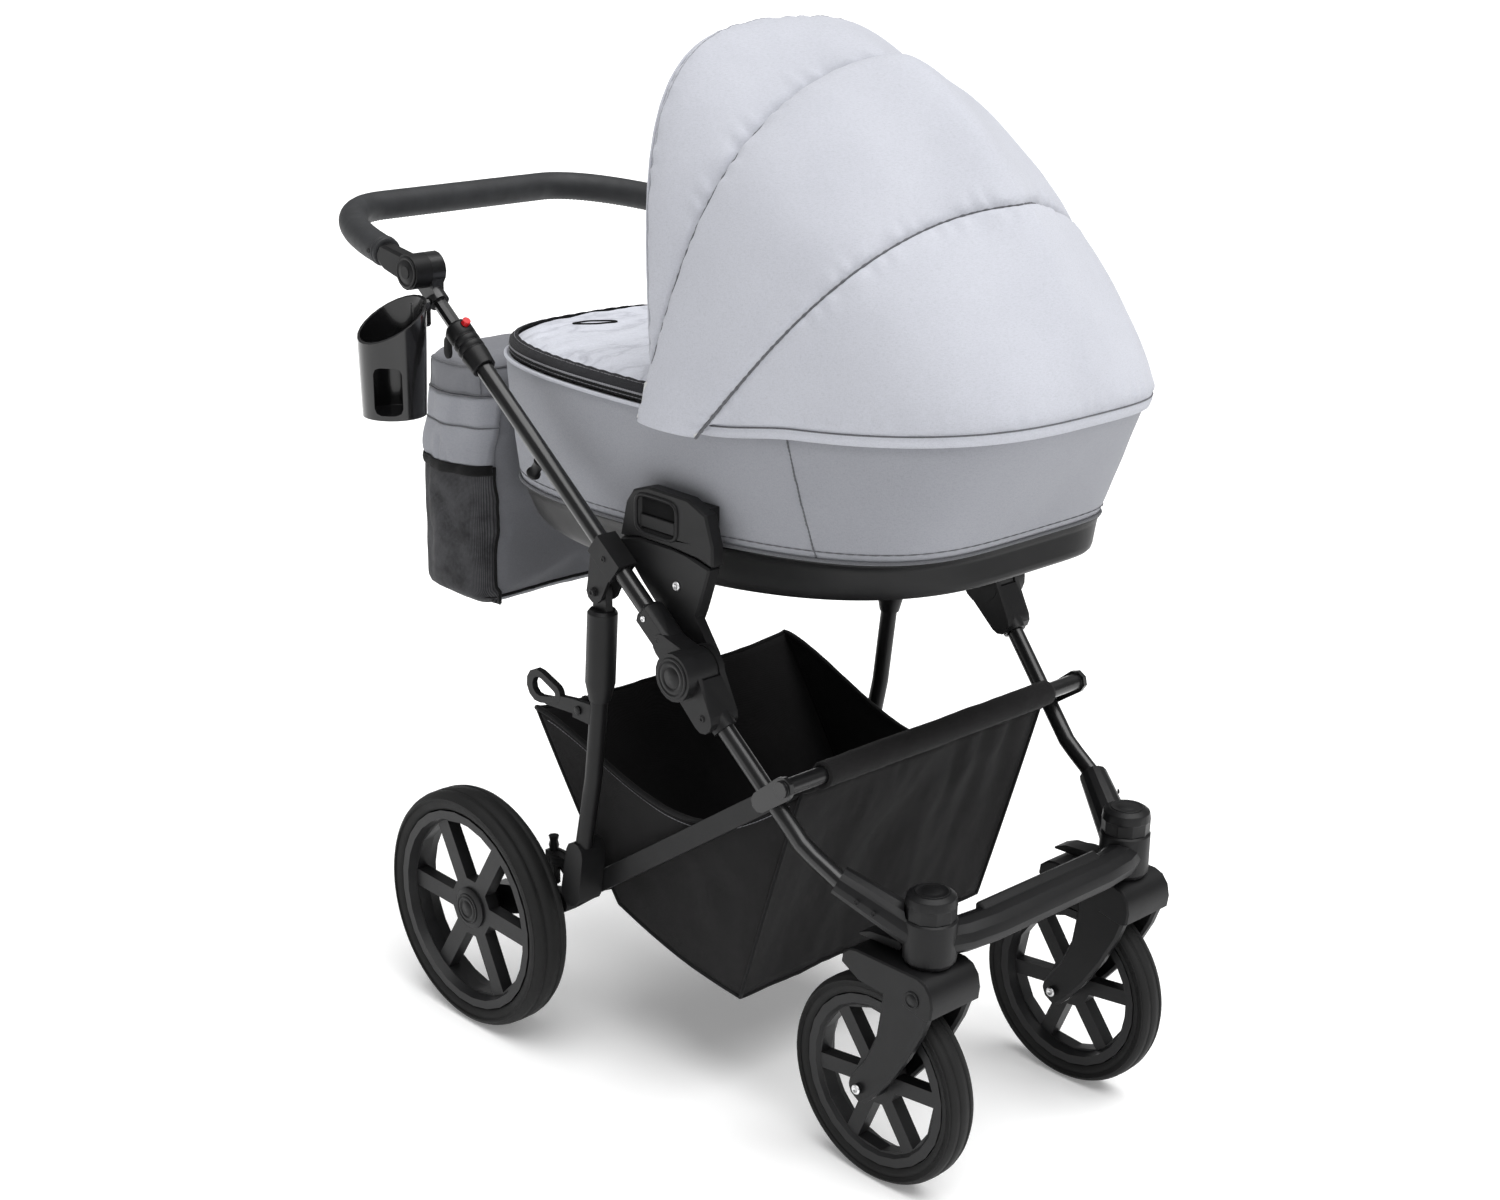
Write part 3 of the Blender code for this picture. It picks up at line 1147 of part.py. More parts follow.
def mattress(carrier):
    """Crowned cushion on the carrycot's curved floor."""
    end_in, side_in = MATTRESS_IN
    outline = superellipse(FLOOR_FOOT_X + end_in, FLOOR_HEAD_X - end_in, FLOOR_HALF_Y - side_in,
                           MATTRESS_POWER, 28)
    base = COT_WALL + 4 * GAP
    rows = ((0.94, 0.0), (1.0, 0.30), (1.0, 0.65), (0.95, 0.90), (0.70, 1.025), (0.30, 1.10))
    rings = [[(x, y, floor_z(x) + base + share * MATTRESS_T) for x, y in scaled(outline, factor)]
             for factor, share in rows]
    middle_x = (FLOOR_FOOT_X + FLOOR_HEAD_X) / 2
    level = floor_z(middle_x) + base
    crown = rows[-1][1] * MATTRESS_T
    cushion = skin("mattress", rings, (middle_x, 0, level), (middle_x, 0, level + crown))
    fit(cushion, "mattress", "lining", carrier, 60)


def apron(carrier):
    """Padded cover over the foot half, resting on the rim."""
    whole = superellipse(RIM_FOOT_X + 0.001, RIM_HEAD_X, APRON_HALF_Y, RIM_POWER, 56)
    rounded = [(x, y) for x, y in whole if x < APRON_EDGE_X]
    corner = max(y for x, y in rounded)
    outline = [(APRON_EDGE_X, corner)] + rounded + [(APRON_EDGE_X, -corner)]
    base = rim_z(APRON_EDGE_X) + RIM_LIP
    rows = ((1.0, 0.0), (1.0, 0.007), (0.97, 0.012), (0.86, 0.0165), (0.60, APRON_CROWN - 0.001),
            (0.25, APRON_CROWN))
    rings = [[(x, y, base + height) for x, y in scaled(outline, factor)] for factor, height in rows]
    fit(loft("apron", rings), "apron", "fabric", carrier, 60)


def hood_profile(radius, half_y, points=7):
    """A hood arch from hub to crest and back, as (distance from the axis, y)."""
    rows = []
    for i in range(-points, points + 1):
        a = pi / 2 * abs(i) / points
        r = radius * abs(cos(a)) ** (2 / HOOD_POWER)
        y = copysign(half_y * sin(a) ** (2 / HOOD_POWER), i)
        rows.append((max(r, HOOD_HUB_R * 0.8), y))
    return rows


def hood_panel(index, name, carrier):
    """One panel of the hood: an arch turned through the panel's angle, with hub discs."""
    half_y = HOOD_HALF_Y[index]
    upper, lower = HOOD_ANGLES[index]
    px, pz = HOOD_PIVOT
    steps = max(2, round((upper - lower) / 12))
    bm = bmesh.new()
    rows = []
    for i in range(steps + 1):
        a = radians(lower + (upper - lower) * i / steps)
        rows.append([bm.verts.new((px + r * cos(a), y, pz + r * sin(a)))
                     for r, y in hood_profile(HOOD_R[index], half_y)])
    for first, second in zip(rows, rows[1:]):
        for i in range(len(first) - 1):
            bm.faces.new((first[i], first[i + 1], second[i + 1], second[i]))
    panel = thickened(from_bmesh("panel", bm), HOOD_WALL, (px, 0, pz))
    hub = cross_rod("hub", HOOD_PIVOT, half_y - HOOD_WALL, half_y, HOOD_HUB_R, 14)
    panel = union(panel, mirrored(hub), hub)
    if index == 0:
        pin = cross_rod("pin", HOOD_PIVOT, cot_side_y(HOOD_PIVOT[1] + HOOD_PIN_R) + GAP,
                        HOOD_HALF_Y[2] + 0.0015, HOOD_PIN_R, 10)
        panel = union(panel, mirrored(pin), pin)
    else:
        bore = cross_rod("bore", HOOD_PIVOT, -half_y - THROUGH, half_y + THROUGH, HOOD_PIN_R + RUN, 10)
        panel = cut(panel, bore)
    fit(panel, name, "fabric", carrier, 50)


def cot_catch(carriers):
    """Catch on the carrycot's side: it drops over the adaptor's post; a recess holds its button."""
    near, far = ADAPTOR_Y
    base = SPLIT_Z + 0.0035
    outline = [(0.2180, SPLIT_Z - 0.0025), (0.2500, base), (0.2980, base), (0.3450, SPLIT_Z),
               (0.3700, SPLIT_Z - 0.006), (0.3700, SPLIT_Z + 0.018), (0.3590, SPLIT_Z + 0.051),
               (0.3300, SPLIT_Z + 0.063), (0.2660, SPLIT_Z + 0.064), (0.2410, SPLIT_Z + 0.056),
               (0.2290, SPLIT_Z + 0.040)]
    shape = bevelled(plate("catch", outline, near, far - 0.0004), 0.0022, 1, 60)
    seat_low = SPLIT_Z + 0.033
    seat_top = SPLIT_Z + 0.055
    seat = plate("seat", [(0.236, seat_low), (0.352, seat_low), (0.352, seat_top), (0.250, seat_top)],
                 cot_side_y(seat_top) + GAP, near + 0.004)
    middle = (near + far) / 2
    half = POST_T / 2 + GAP
    pocket = box("pocket", (0.2670, middle - half, SPLIT_Z - 0.010),
                 (0.3190, middle + half, SPLIT_Z + 0.0310))
    recess = box("recess", (0.2480, far - RECESS_DEPTH, SPLIT_Z + 0.012),
                 (0.3120, far + 0.01, SPLIT_Z + 0.053))
    shape = cut(union(shape, seat), pocket, bevelled(recess, 0.004, 1, 40))
    fit_both(shape, "cot_catch", "plastic", carriers)


def catch_button(carriers):
    """Release button in the catch's recess, pushed up by a finger."""
    base = ADAPTOR_Y[1] - RECESS_DEPTH
    button = box("button", (0.2520, base + GAP, SPLIT_Z + 0.016),
                 (0.3080, base + 0.0030, SPLIT_Z + 0.031))
    fit_both(bevelled(button, 0.0010, 1, 40), "catch_button", "plastic", carriers)


def bag(carrier):
    """Changing bag hung at the foot end by a flap that reaches the carrycot's rim."""
    shape = box("bag", (BAG_X[0], -BAG_HALF_Y, BAG_Z[0]), (BAG_X[1], BAG_HALF_Y, BAG_Z[1]))
    flap = plate("flap", [(BAG_X[1] - 0.050, BAG_Z[1] - 0.010), (RIM_FOOT_X - GAP, RIM_Z - 0.022),
                          (RIM_FOOT_X - GAP, RIM_Z + 0.002), (BAG_X[1] - 0.050, BAG_Z[1] + 0.003)],
                 -BAG_FLAP_HALF_Y, BAG_FLAP_HALF_Y)
    fit(union(bevelled(shape, 0.022, 2, 40), flap), "bag", "fabric", carrier, 50)


# Assembly

def centre_on_origin(root):
    """Moves the pram so that the bottom centre of its box is the origin."""
    bpy.context.view_layer.update()
    low = Vector((1e9, 1e9, 1e9))
    high = -low
    for obj in PRAM.objects:
        if obj.type != "MESH":
            continue
        for vertex in obj.data.vertices:
            place = obj.matrix_world @ vertex.co
            low = Vector(map(min, low, place))
            high = Vector(map(max, high, place))
    root.location -= Vector(((low.x + high.x) / 2, (low.y + high.y) / 2, low.z))


def assemble():
    root = body("pram", (0, 0, 0))
    front = body("front_frame", at(FOLD, 0), root)
    upper = body("upper_frame", at(FOLD, 0), front)
    slide = body("handle_slide", at(along_tube(SLEEVE_FROM), 0), upper)
    handle = body("handle", at(HANDLE_PIVOT, 0), slide)
    links = body("links", at(LINK_FRONT, 0), front)
    legs = body("rear_legs", at(LINK_REAR, 0), links)
    cot = body("carrycot", at(HOOD_PIVOT, 0), front)

    caster_crossbar(front)
    basket_bar(front)
    front_tube((front, front))
    lower_socket((front, front))
    adaptor((front, front))
    caster_knob(bodies("knob", (CASTER_X, CASTER_Y, HOUSING_TOP_Z), (front, front)))
    swivel_lock(bodies("swivel_lock_pivot", at(SWIVEL_LOCK, CASTER_Y), (front, front)))
    forks = bodies("fork", (CASTER_X, CASTER_Y, SWIVEL_Z), (front, front))
    caster_fork(forks)
    front_wheel(bodies("front_wheel", at(FRONT_AXLE, CASTER_Y), forks))

    side_tube((upper, upper))
    upper_socket((upper, upper))
    leg_bracket((upper, upper))
    collars = bodies("collar", at(along_tube(COLLAR_FROM), FRAME_Y), (upper, upper))
    release_collar(collars)
    red_button(body("red_pivot", at(along_tube(RED_AT, COLLAR_R), -FRAME_Y), collars[1]))
    telescopic_tube((slide, slide))
    cup_holder(slide)
    handle_bar(handle)
    handle_grip(handle)
    handle_button(bodies("handle_button_seat", at(HANDLE_PIVOT, HANDLE_BOSS_OUT), (handle, handle)))

    lower_link((links, links))
    basket(links)
    rear_leg((legs, legs))
    rear_crossmember(legs)
    ring_lever(body("ring", at(RING_PIVOT, -FRAME_Y), legs))
    brake_pedal(body("pedal", at(LINK_REAR, -(LINK_Y - PEDAL_IN) + PEDAL_W / 2), legs))
    arms = bodies("arm", at(ARM_PIVOT, FRAME_Y), (legs, legs))
    swing_arm(arms)
    rear_wheel(bodies("rear_wheel", at(REAR_AXLE, REAR_WHEEL_Y), arms))

    cot_shell(cot)
    mattress(cot)
    apron(cot)
    bag(cot)
    cot_catch((cot, cot))
    catch_button(bodies("catch", (CATCH_X, ADAPTOR_Y[1], SPLIT_Z + 0.023), (cot, cot)))
    hood_panel(0, "hood_rear", cot)
    hood_panel(1, "hood_middle", body("hood_middle_hub", at(HOOD_PIVOT, 0), cot))
    hood_panel(2, "hood_front", body("hood_front_hub", at(HOOD_PIVOT, 0), cot))
    centre_on_origin(root)


assemble()
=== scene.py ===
"""Looks of the two-in-one pram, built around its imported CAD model."""
import json
from math import copysign, cos, exp, hypot, pi, radians, sin

import bmesh
import bpy
from mathutils import Matrix, Vector, noise
from mathutils.bvhtree import BVHTree


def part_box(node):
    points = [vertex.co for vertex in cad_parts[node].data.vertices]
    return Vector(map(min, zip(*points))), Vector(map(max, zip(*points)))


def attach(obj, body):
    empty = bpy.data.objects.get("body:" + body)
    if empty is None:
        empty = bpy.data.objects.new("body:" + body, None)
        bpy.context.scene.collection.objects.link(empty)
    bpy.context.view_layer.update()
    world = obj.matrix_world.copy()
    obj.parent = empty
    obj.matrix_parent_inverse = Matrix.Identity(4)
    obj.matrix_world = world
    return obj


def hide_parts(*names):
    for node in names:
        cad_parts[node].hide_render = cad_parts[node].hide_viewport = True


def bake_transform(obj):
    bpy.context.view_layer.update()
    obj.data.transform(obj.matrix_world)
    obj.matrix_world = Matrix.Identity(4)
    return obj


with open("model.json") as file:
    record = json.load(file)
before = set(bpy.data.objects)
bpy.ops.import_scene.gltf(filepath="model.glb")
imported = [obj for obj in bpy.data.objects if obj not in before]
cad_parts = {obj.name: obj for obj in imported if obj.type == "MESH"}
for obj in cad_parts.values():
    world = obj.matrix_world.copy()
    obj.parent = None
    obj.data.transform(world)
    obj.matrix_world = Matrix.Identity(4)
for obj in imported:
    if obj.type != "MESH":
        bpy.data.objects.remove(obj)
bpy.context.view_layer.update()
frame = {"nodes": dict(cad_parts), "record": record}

SIDES = (("left", 1), ("right", -1))

# The pieces are drawn from the rear axle (x = 0), the middle plane and the floor, as the CAD is.
REAR_WHEEL_Y = 0.2693
REAR_AXLE_Z = 0.150
FRONT_AXLE = (0.587, 0.1204)
CASTER_X = 0.648
CASTER_Y = 0.164
FRAME_Y = 0.240
HOOD_PIVOT = (0.300, 0.800)
_low, _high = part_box("rear_tyre_left")
ORIGIN = Vector(((_low.x + _high.x) / 2, (_low.y + _high.y) / 2 - REAR_WHEEL_Y, 0.0))


def place(x, y, z):
    """Point of the part's own frame, in the scene."""
    return Vector((x, y, z)) + ORIGIN


# Materials, all from nodes

def srgb(value):
    """Linear colour of three 0-255 screen values."""
    def linear(v):
        v = v / 255
        return v / 12.92 if v <= 0.04045 else ((v + 0.055) / 1.055) ** 2.4
    return tuple(linear(v) for v in value)


def new_node(tree, kind, sockets=None, **settings):
    """Node with its settings, and with values on its sockets."""
    node = tree.nodes.new(kind)
    for key, value in settings.items():
        setattr(node, key, value)
    for socket, value in (sockets or {}).items():
        node.inputs[socket].default_value = value
    return node


class Graph:
    """Small helper that wires one material's nodes."""

    def __init__(self, name, roughness, metallic=0.0, sheen=0.0, coat=0.0, specular=0.5):
        self.material = bpy.data.materials.new(name)
        self.material.use_nodes = True
        self.tree = self.material.node_tree
        self.shader = self.tree.nodes["Principled BSDF"]
        values = {"Roughness": roughness, "Metallic": metallic, "Sheen Weight": sheen, "Sheen Roughness": 0.5,
                  "Coat Weight": coat, "Specular IOR Level": specular}
        for socket, value in values.items():
            self.shader.inputs[socket].default_value = value
        self.coords = self.add("ShaderNodeTexCoord").outputs["Object"]
        self.normal = None

    def add(self, kind, sockets=None, **settings):
        return new_node(self.tree, kind, sockets, **settings)

    def link(self, source, target):
        self.tree.links.new(source, target)

    def noise(self, scale, detail, stretch=(1, 1, 1), rough=0.55):
        mapping = self.add("ShaderNodeMapping", {"Scale": stretch})
        self.link(self.coords, mapping.inputs["Vector"])
        node = self.add("ShaderNodeTexNoise", {"Scale": scale, "Detail": detail, "Roughness": rough})
        self.link(mapping.outputs["Vector"], node.inputs["Vector"])
        return node.outputs["Fac"]

    def cells(self, scale):
        node = self.add("ShaderNodeTexVoronoi", {"Scale": scale})
        self.link(self.coords, node.inputs["Vector"])
        return node.outputs["Distance"]

    def woven(self, scale, operation="ADD"):
        """Bands across x and across z, added up or multiplied."""
        bands = []
        for direction in ("X", "Z"):
            node = self.add("ShaderNodeTexWave", {"Scale": scale}, bands_direction=direction)
            self.link(self.coords, node.inputs["Vector"])
            bands.append(node.outputs["Fac"])
        return self.maths(operation, *bands)

    def ramp(self, source, stops):
        node = self.add("ShaderNodeValToRGB")
        ramp = node.color_ramp
        while len(ramp.elements) < len(stops):
            ramp.elements.new(0.5)
        for element, (position, colour) in zip(ramp.elements, stops):
            element.position = position
            element.color = (*colour, 1.0)
        self.link(source, node.inputs["Fac"])
        return node.outputs["Color"]

    def mix(self, first, second, factor, blend="MIX"):
        node = self.add("ShaderNodeMix", data_type="RGBA", blend_type=blend)
        for socket, value in (("Factor", factor), ("A", first), ("B", second)):
            target = [s for s in node.inputs if s.name == socket and s.enabled][0]
            if isinstance(value, (int, float)):
                target.default_value = value
            elif isinstance(value, tuple):
                target.default_value = (*value, 1.0)
            else:
                self.link(value, target)
        return [s for s in node.outputs if s.enabled][0]

    def maths(self, operation, first, second):
        node = self.add("ShaderNodeMath", operation=operation)
        for target, value in zip(node.inputs, (first, second)):
            if isinstance(value, (int, float)):
                target.default_value = value
            else:
                self.link(value, target)
        return node.outputs["Value"]

    def bump(self, height, distance, strength):
        """Adds relief on top of any bump that is there already."""
        node = self.add("ShaderNodeBump", {"Distance": distance, "Strength": strength})
        self.link(height, node.inputs["Height"])
        if self.normal is not None:
            self.link(self.normal, node.inputs["Normal"])
        self.normal = node.outputs["Normal"]

    def colour(self, source):
        self.link(source, self.shader.inputs["Base Color"])

    def mottled(self, colour, scale, detail, dark, light):
        """A colour that wanders between a darker and a lighter shade of itself."""
        return self.ramp(self.noise(scale, detail), ((0.3, shade(colour, dark)), (0.7, shade(colour, light))))

    def roughness(self, source, low, high):
        node = self.add("ShaderNodeMapRange", {"To Min": low, "To Max": high})
        self.link(source, node.inputs["Value"])
        self.link(node.outputs["Result"], self.shader.inputs["Roughness"])

    def done(self):
        if self.normal is not None:
            self.link(self.normal, self.shader.inputs["Normal"])
        return self.material


def shade(colour, factor):
    return tuple(c * factor for c in colour)


def heather(name, colour, contrast=0.11, crinkle=0.0):
    """Woven melange cloth: fine strands of lighter and darker yarn in a plain weave."""
    g = Graph(name, 0.88, sheen=0.12)
    specks = g.mix(g.noise(1500, 2, (1, 1, 0.22)), g.noise(1300, 2, (0.22, 0.22, 1)), 0.5)
    yarn = g.ramp(specks, ((0.36, shade(colour, 1 - contrast)), (0.50, colour),
                           (0.66, shade(colour, 1 + contrast * 0.55))))
    cloud = g.ramp(g.noise(9, 3), ((0.25, (0.95, 0.95, 0.955)), (0.75, (1.03, 1.03, 1.03))))
    tinted = g.mix(yarn, cloud, 1.0, "MULTIPLY")
    # Where crinkle is given, the colour is darkened along the crease lines: painted shade in the creases. The
    # same crease pattern also drives the bump below.
    if crinkle:
        folded = g.maths("SUBTRACT", g.noise(19, 4, (1.0, 0.40, 1.0), 0.5), 0.5)
        folded = g.maths("ABSOLUTE", folded, 0.0)
        lines = g.ramp(folded, ((0.0, (0.80, 0.80, 0.81)), (0.035, (0.97, 0.97, 0.97)),
                                (0.12, (1.03, 1.03, 1.03))))
        tinted = g.mix(tinted, lines, 1.0, "MULTIPLY")
    g.colour(tinted)
    g.bump(g.woven(900), 0.00012, 0.6)
    g.bump(g.noise(160, 3), 0.0003, 0.25)
    g.bump(g.noise(28, 3), 0.0016, 0.22)
    if crinkle:
        g.bump(folded, crinkle, 0.9)
    return g.done()


def dark_cloth(name, colour, weave=700):
    """Black or grey cloth with a plain weave and soft waves."""
    g = Graph(name, 0.86, sheen=0.05, specular=0.18)
    tone = g.mottled(colour, 14, 4, 0.78, 1.25)
    fine = g.ramp(g.noise(900, 2), ((0.35, (0.80, 0.80, 0.80)), (0.65, (1.15, 1.15, 1.15))))
    g.colour(g.mix(tone, fine, 1.0, "MULTIPLY"))
    g.bump(g.woven(weave), 0.00015, 0.7)
    g.bump(g.noise(60, 4), 0.0012, 0.35)
    g.bump(g.noise(17, 3), 0.0030, 0.30)
    return g.done()


def moulded(name, colour, low, high, grain=1400, depth=0.00012, coat=0.0, specular=0.5):
    """Moulded plastic or coated metal with a fine grain and a little wear in its gloss."""
    g = Graph(name, (low + high) / 2, coat=coat, specular=specular)
    g.colour(g.mottled(colour, 22, 3, 0.86, 1.14))
    g.roughness(g.noise(35, 4), low, high)
    g.bump(g.noise(grain, 2), depth, 0.5)
    return g.done()


def tyre_rubber(name, colour):
    g = Graph(name, 0.78, specular=0.30)
    g.colour(g.mottled(colour, 30, 4, 0.75, 1.3))
    g.roughness(g.noise(60, 3), 0.62, 0.80)
    g.bump(g.noise(900, 3), 0.0002, 0.6)
    return g.done()


def leatherette(name, colour):
    """Fine-grained foam cover of the handle."""
    g = Graph(name, 0.6, specular=0.35)
    g.colour(g.mottled(colour, 40, 4, 0.82, 1.2))
    g.roughness(g.noise(90, 3), 0.52, 0.72)
    g.bump(g.cells(900), 0.0003, 0.5)
    return g.done()


def net(name, dark, light):
    """Black net over grey cloth, which shows through in random lighter and darker patches."""
    g = Graph(name, 0.85, sheen=0.04, specular=0.15)
    behind = g.ramp(g.noise(26, 6, rough=0.7), ((0.34, shade(light, 0.42)), (0.52, shade(light, 0.8)),
                                                (0.68, light)))
    shown = g.ramp(g.woven(210, "MULTIPLY"), ((0.02, (0.25, 0.25, 0.25)), (0.5, (1, 1, 1))))
    g.colour(g.mix(dark, behind, shown))
    g.bump(g.noise(300, 3), 0.0006, 0.5)
    return g.done()


def bright_metal(name, colour, low, high):
    g = Graph(name, 0.3, metallic=1.0)
    g.colour(g.mottled(colour, 120, 3, 0.85, 1.0))
    g.roughness(g.noise(400, 3, (1, 1, 6)), low, high)
    return g.done()


GREY = srgb((188, 190, 198))
CLOTH = heather("heather_cloth", shade(GREY, 0.92))
# The grey cloth at 1.12 of its brightness: painted light on the apron's top, which lies in the hood's shade.
# Its crinkle also paints shade along the crease lines.
APRON_LIT_CLOTH = heather("heather_apron_painted_light", shade(GREY, 1.12), crinkle=0.014)
# The grey cloth at 0.55 of its brightness: painted shade for the carrycot's sides, which face away from the
# light above. The bag pocket's cuff and band and the hood's edge stitches use it too.
SHADED_CLOTH = heather("heather_painted_shade", shade(GREY, 0.55))
# The same grey cloth at 0.30 of its brightness: painted shade for the bag beneath the carrycot.
BAG_SHADED_CLOTH = heather("heather_bag_painted_shade", shade(GREY, 0.30))
CLOTH_DARK = heather("heather_seam", shade(GREY, 0.20), 0.25)
LINING = heather("pale_lining", srgb((205, 205, 204)), 0.08)
BLACK_CLOTH = dark_cloth("black_cloth", srgb((19, 18, 19)))
BLACK_TAPE = dark_cloth("black_tape", srgb((17, 17, 18)), 500)
ZIP_TEETH = dark_cloth("zip_teeth", srgb((128, 128, 132)), 500)
ZIP_TAPE = dark_cloth("zip_tape", srgb((36, 36, 39)), 500)
NET = net("black_net", srgb((20, 20, 21)), srgb((92, 92, 95)))
TUBE = moulded("satin_black_tube", srgb((17, 17, 18)), 0.24, 0.34, 2200, 0.00005, 0.12, specular=0.42)
PLASTIC = moulded("charcoal_plastic", srgb((17, 17, 18)), 0.38, 0.52, specular=0.24)
RIM = moulded("rim_plastic", srgb((25, 25, 26)), 0.36, 0.48, specular=0.26)
TYRE = tyre_rubber("tyre_rubber", srgb((17, 17, 17)))
GRIP = leatherette("grip_cover", srgb((40, 41, 43)))
RED = moulded("red_button_plastic", srgb((196, 24, 30)), 0.30, 0.40, 1400, 0.00004, 0.3)
STEEL = bright_metal("zinc_steel", (0.74, 0.74, 0.75), 0.22, 0.42)
# Near-black plate that paints the shade inside the catch's recess.
RECESS_SHADE = moulded("recess_painted_shade", srgb((7, 7, 8)), 0.60, 0.70, specular=0.1)
GLOSS = moulded("gloss_black_plastic", srgb((18, 18, 19)), 0.14, 0.24, 900, 0.00002, 0.25, specular=0.4)

SLOT_MATERIAL = {"tube": TUBE, "plastic": PLASTIC, "grip": GRIP, "tyre": TYRE, "rim": RIM,
                 "fabric": CLOTH, "black_fabric": BLACK_CLOTH, "lining": LINING, "red": RED}


# Meshes

def mesh_object(name, verts, faces, materials, indices):
    """Object from points of the part's own frame, welded, with its normals made to agree."""
    mesh = bpy.data.meshes.new(name)
    mesh.from_pydata([Vector(v) + ORIGIN for v in verts], [], faces)
    bm = bmesh.new()
    bm.from_mesh(mesh)
    bmesh.ops.remove_doubles(bm, verts=bm.verts, dist=0.000005)
    bmesh.ops.recalc_face_normals(bm, faces=bm.faces)
    bm.to_mesh(mesh)
    bm.free()
    for material in materials:
        mesh.materials.append(material)
    if len(mesh.polygons) == len(indices):
        for polygon, index in zip(mesh.polygons, indices):
            polygon.material_index = index
    mesh.polygons.foreach_set("use_smooth", [True] * len(mesh.polygons))
    obj = bpy.data.objects.new(name, mesh)
    bpy.context.scene.collection.objects.link(obj)
    return obj


def skin(name, rows, materials, closed=False, row_material=None, caps=(False, False)):
    """Quads between rows of points. Closed rows are rings; caps fill the first and last ring."""
    count = len(rows[0])
    verts = [p for row in rows for p in row]
    faces = []
    indices = []
    for k in range(len(rows) - 1):
        for i in range(count if closed else count - 1):
            j = (i + 1) % count
            faces.append((k * count + i, k * count + j, (k + 1) * count + j, (k + 1) * count + i))
            indices.append(row_material(k) if row_material else 0)
    if caps[0]:
        faces.append(tuple(range(count)))
        indices.append(row_material(0) if row_material else 0)
    if caps[1]:
        faces.append(tuple((len(rows) - 1) * count + i for i in range(count)))
        indices.append(row_material(len(rows) - 2) if row_material else 0)
    return mesh_object(name, verts, faces, materials, indices)


def directions(points, closed):
    """Unit tangents along a path."""
    tangents = []
    last = len(points) - 1
    for i in range(len(points)):
        before = points[i - 1] if i > 0 or closed else points[i]
        after = points[(i + 1) % (last + 1)] if i < last or closed else points[i]
        tangents.append((Vector(after) - Vector(before)).normalized())
    return tangents


def frames(points, closed=False, up=(0, 0, 1)):
    """Two side vectors at each point of a path, carried along without twisting."""
    tangents = directions(points, closed)
    side = tangents[0].cross(Vector(up))
    if side.length < 0.05:
        side = tangents[0].cross(Vector((1, 0, 0)))
    side.normalize()
    result = []
    for tangent in tangents:
        side = (side - tangent * side.dot(tangent)).normalized()
        result.append((side, tangent.cross(side)))
    return result


def circle(count):
    """Equal angles once round."""
    return [2 * pi * k / count for k in range(count)]


def cord_tube(name, points, radius, material, closed=False, sides=8, twist=None, up=(0, 0, 1)):
    """Round cord along a path; twist gives a radius factor for each point."""
    rows = []
    for i, (point, (side, other)) in enumerate(zip(points, frames(points, closed, up))):
        r = radius * (twist(i) if twist else 1.0)
        rows.append([Vector(point) + side * (r * cos(a)) + other * (r * sin(a)) for a in circle(sides)])
    if closed:
        rows.append(rows[0])
    return skin(name, rows, [material], True, caps=(not closed, not closed))


def notched(every, low):
    """Radius factors of a sewn or toothed line, which narrows at every few points."""
    return lambda i: 1.0 if i % every else low


def turned(name, profile, centre, axis, material, facets=48):
    """Profile of (radius, height) turned about an axis through a point."""
    turn = Vector((0, 0, 1)).rotation_difference(Vector(axis)).to_matrix()
    rows = []
    for radius, height in profile:
        r = max(radius, 0.00001)
        rows.append([turn @ Vector((r * cos(a), r * sin(a), height)) + Vector(centre)
                     for a in circle(facets)])
    return skin(name, rows, [material], True, caps=(True, True))


def resampled(points, count, closed=False):
    """Points at equal distances along a path."""
    path = [Vector(p) for p in points] + ([Vector(points[0])] if closed else [])
    lengths = [0.0]
    for a, b in zip(path, path[1:]):
        lengths.append(lengths[-1] + (b - a).length)
    total = lengths[-1]
    result = []
    k = 0
    for i in range(count):
        target = total * i / (count if closed else count - 1)
        while k < len(path) - 2 and lengths[k + 1] < target:
            k += 1
        span = max(lengths[k + 1] - lengths[k], 1e-9)
        result.append(path[k].lerp(path[k + 1], min(1.0, (target - lengths[k]) / span)))
    return result


def bent(share, power):
    """A power that keeps the sign; below 1 it bends a circle towards a square."""
    return copysign(abs(share) ** power, share)


def superellipse(x_low, x_high, half_y, power, count):
    """Evenly spaced ring of (x, y): an oval that gets squarer with its power."""
    middle, half_x = (x_low + x_high) / 2, (x_high - x_low) / 2
    ring = [(middle + half_x * bent(cos(a), 2 / power), half_y * bent(sin(a), 2 / power), 0)
            for a in circle(count * 4)]
    return [(p.x, p.y) for p in resampled(ring, count, True)]


def smoothstep(low, high, value):
    t = min(1.0, max(0.0, (value - low) / (high - low)))
    return t * t * (3 - 2 * t)


def ruffle(point, scale, seed=0.0):
    return noise.noise(Vector(point) * scale + Vector((seed, seed * 0.7, -seed)))


def applied(obj):
    """The evaluated shape becomes the object's own mesh."""
    bpy.context.view_layer.update()
    evaluated = obj.evaluated_get(bpy.context.evaluated_depsgraph_get())
    mesh = bpy.data.meshes.new_from_object(evaluated)
    obj.modifiers.clear()
    obj.data = mesh


def thickened(obj, thickness, offset=-1.0):
    """Gives a sheet its thickness: inwards at an offset of -1, to both sides at 0."""
    modifier = obj.modifiers.new("thickness", "SOLIDIFY")
    modifier.thickness = thickness
    modifier.offset = offset
    return modifier


def faced_outwards(obj, face, middle):
    """Turns all faces over where this one looks towards the middle."""
    if face.normal.dot(face.center - middle) < 0:
        obj.data.flip_normals()


def surface_tree(obj):
    mesh = obj.data
    return BVHTree.FromPolygons([v.co for v in mesh.vertices], [tuple(f.vertices) for f in mesh.polygons])


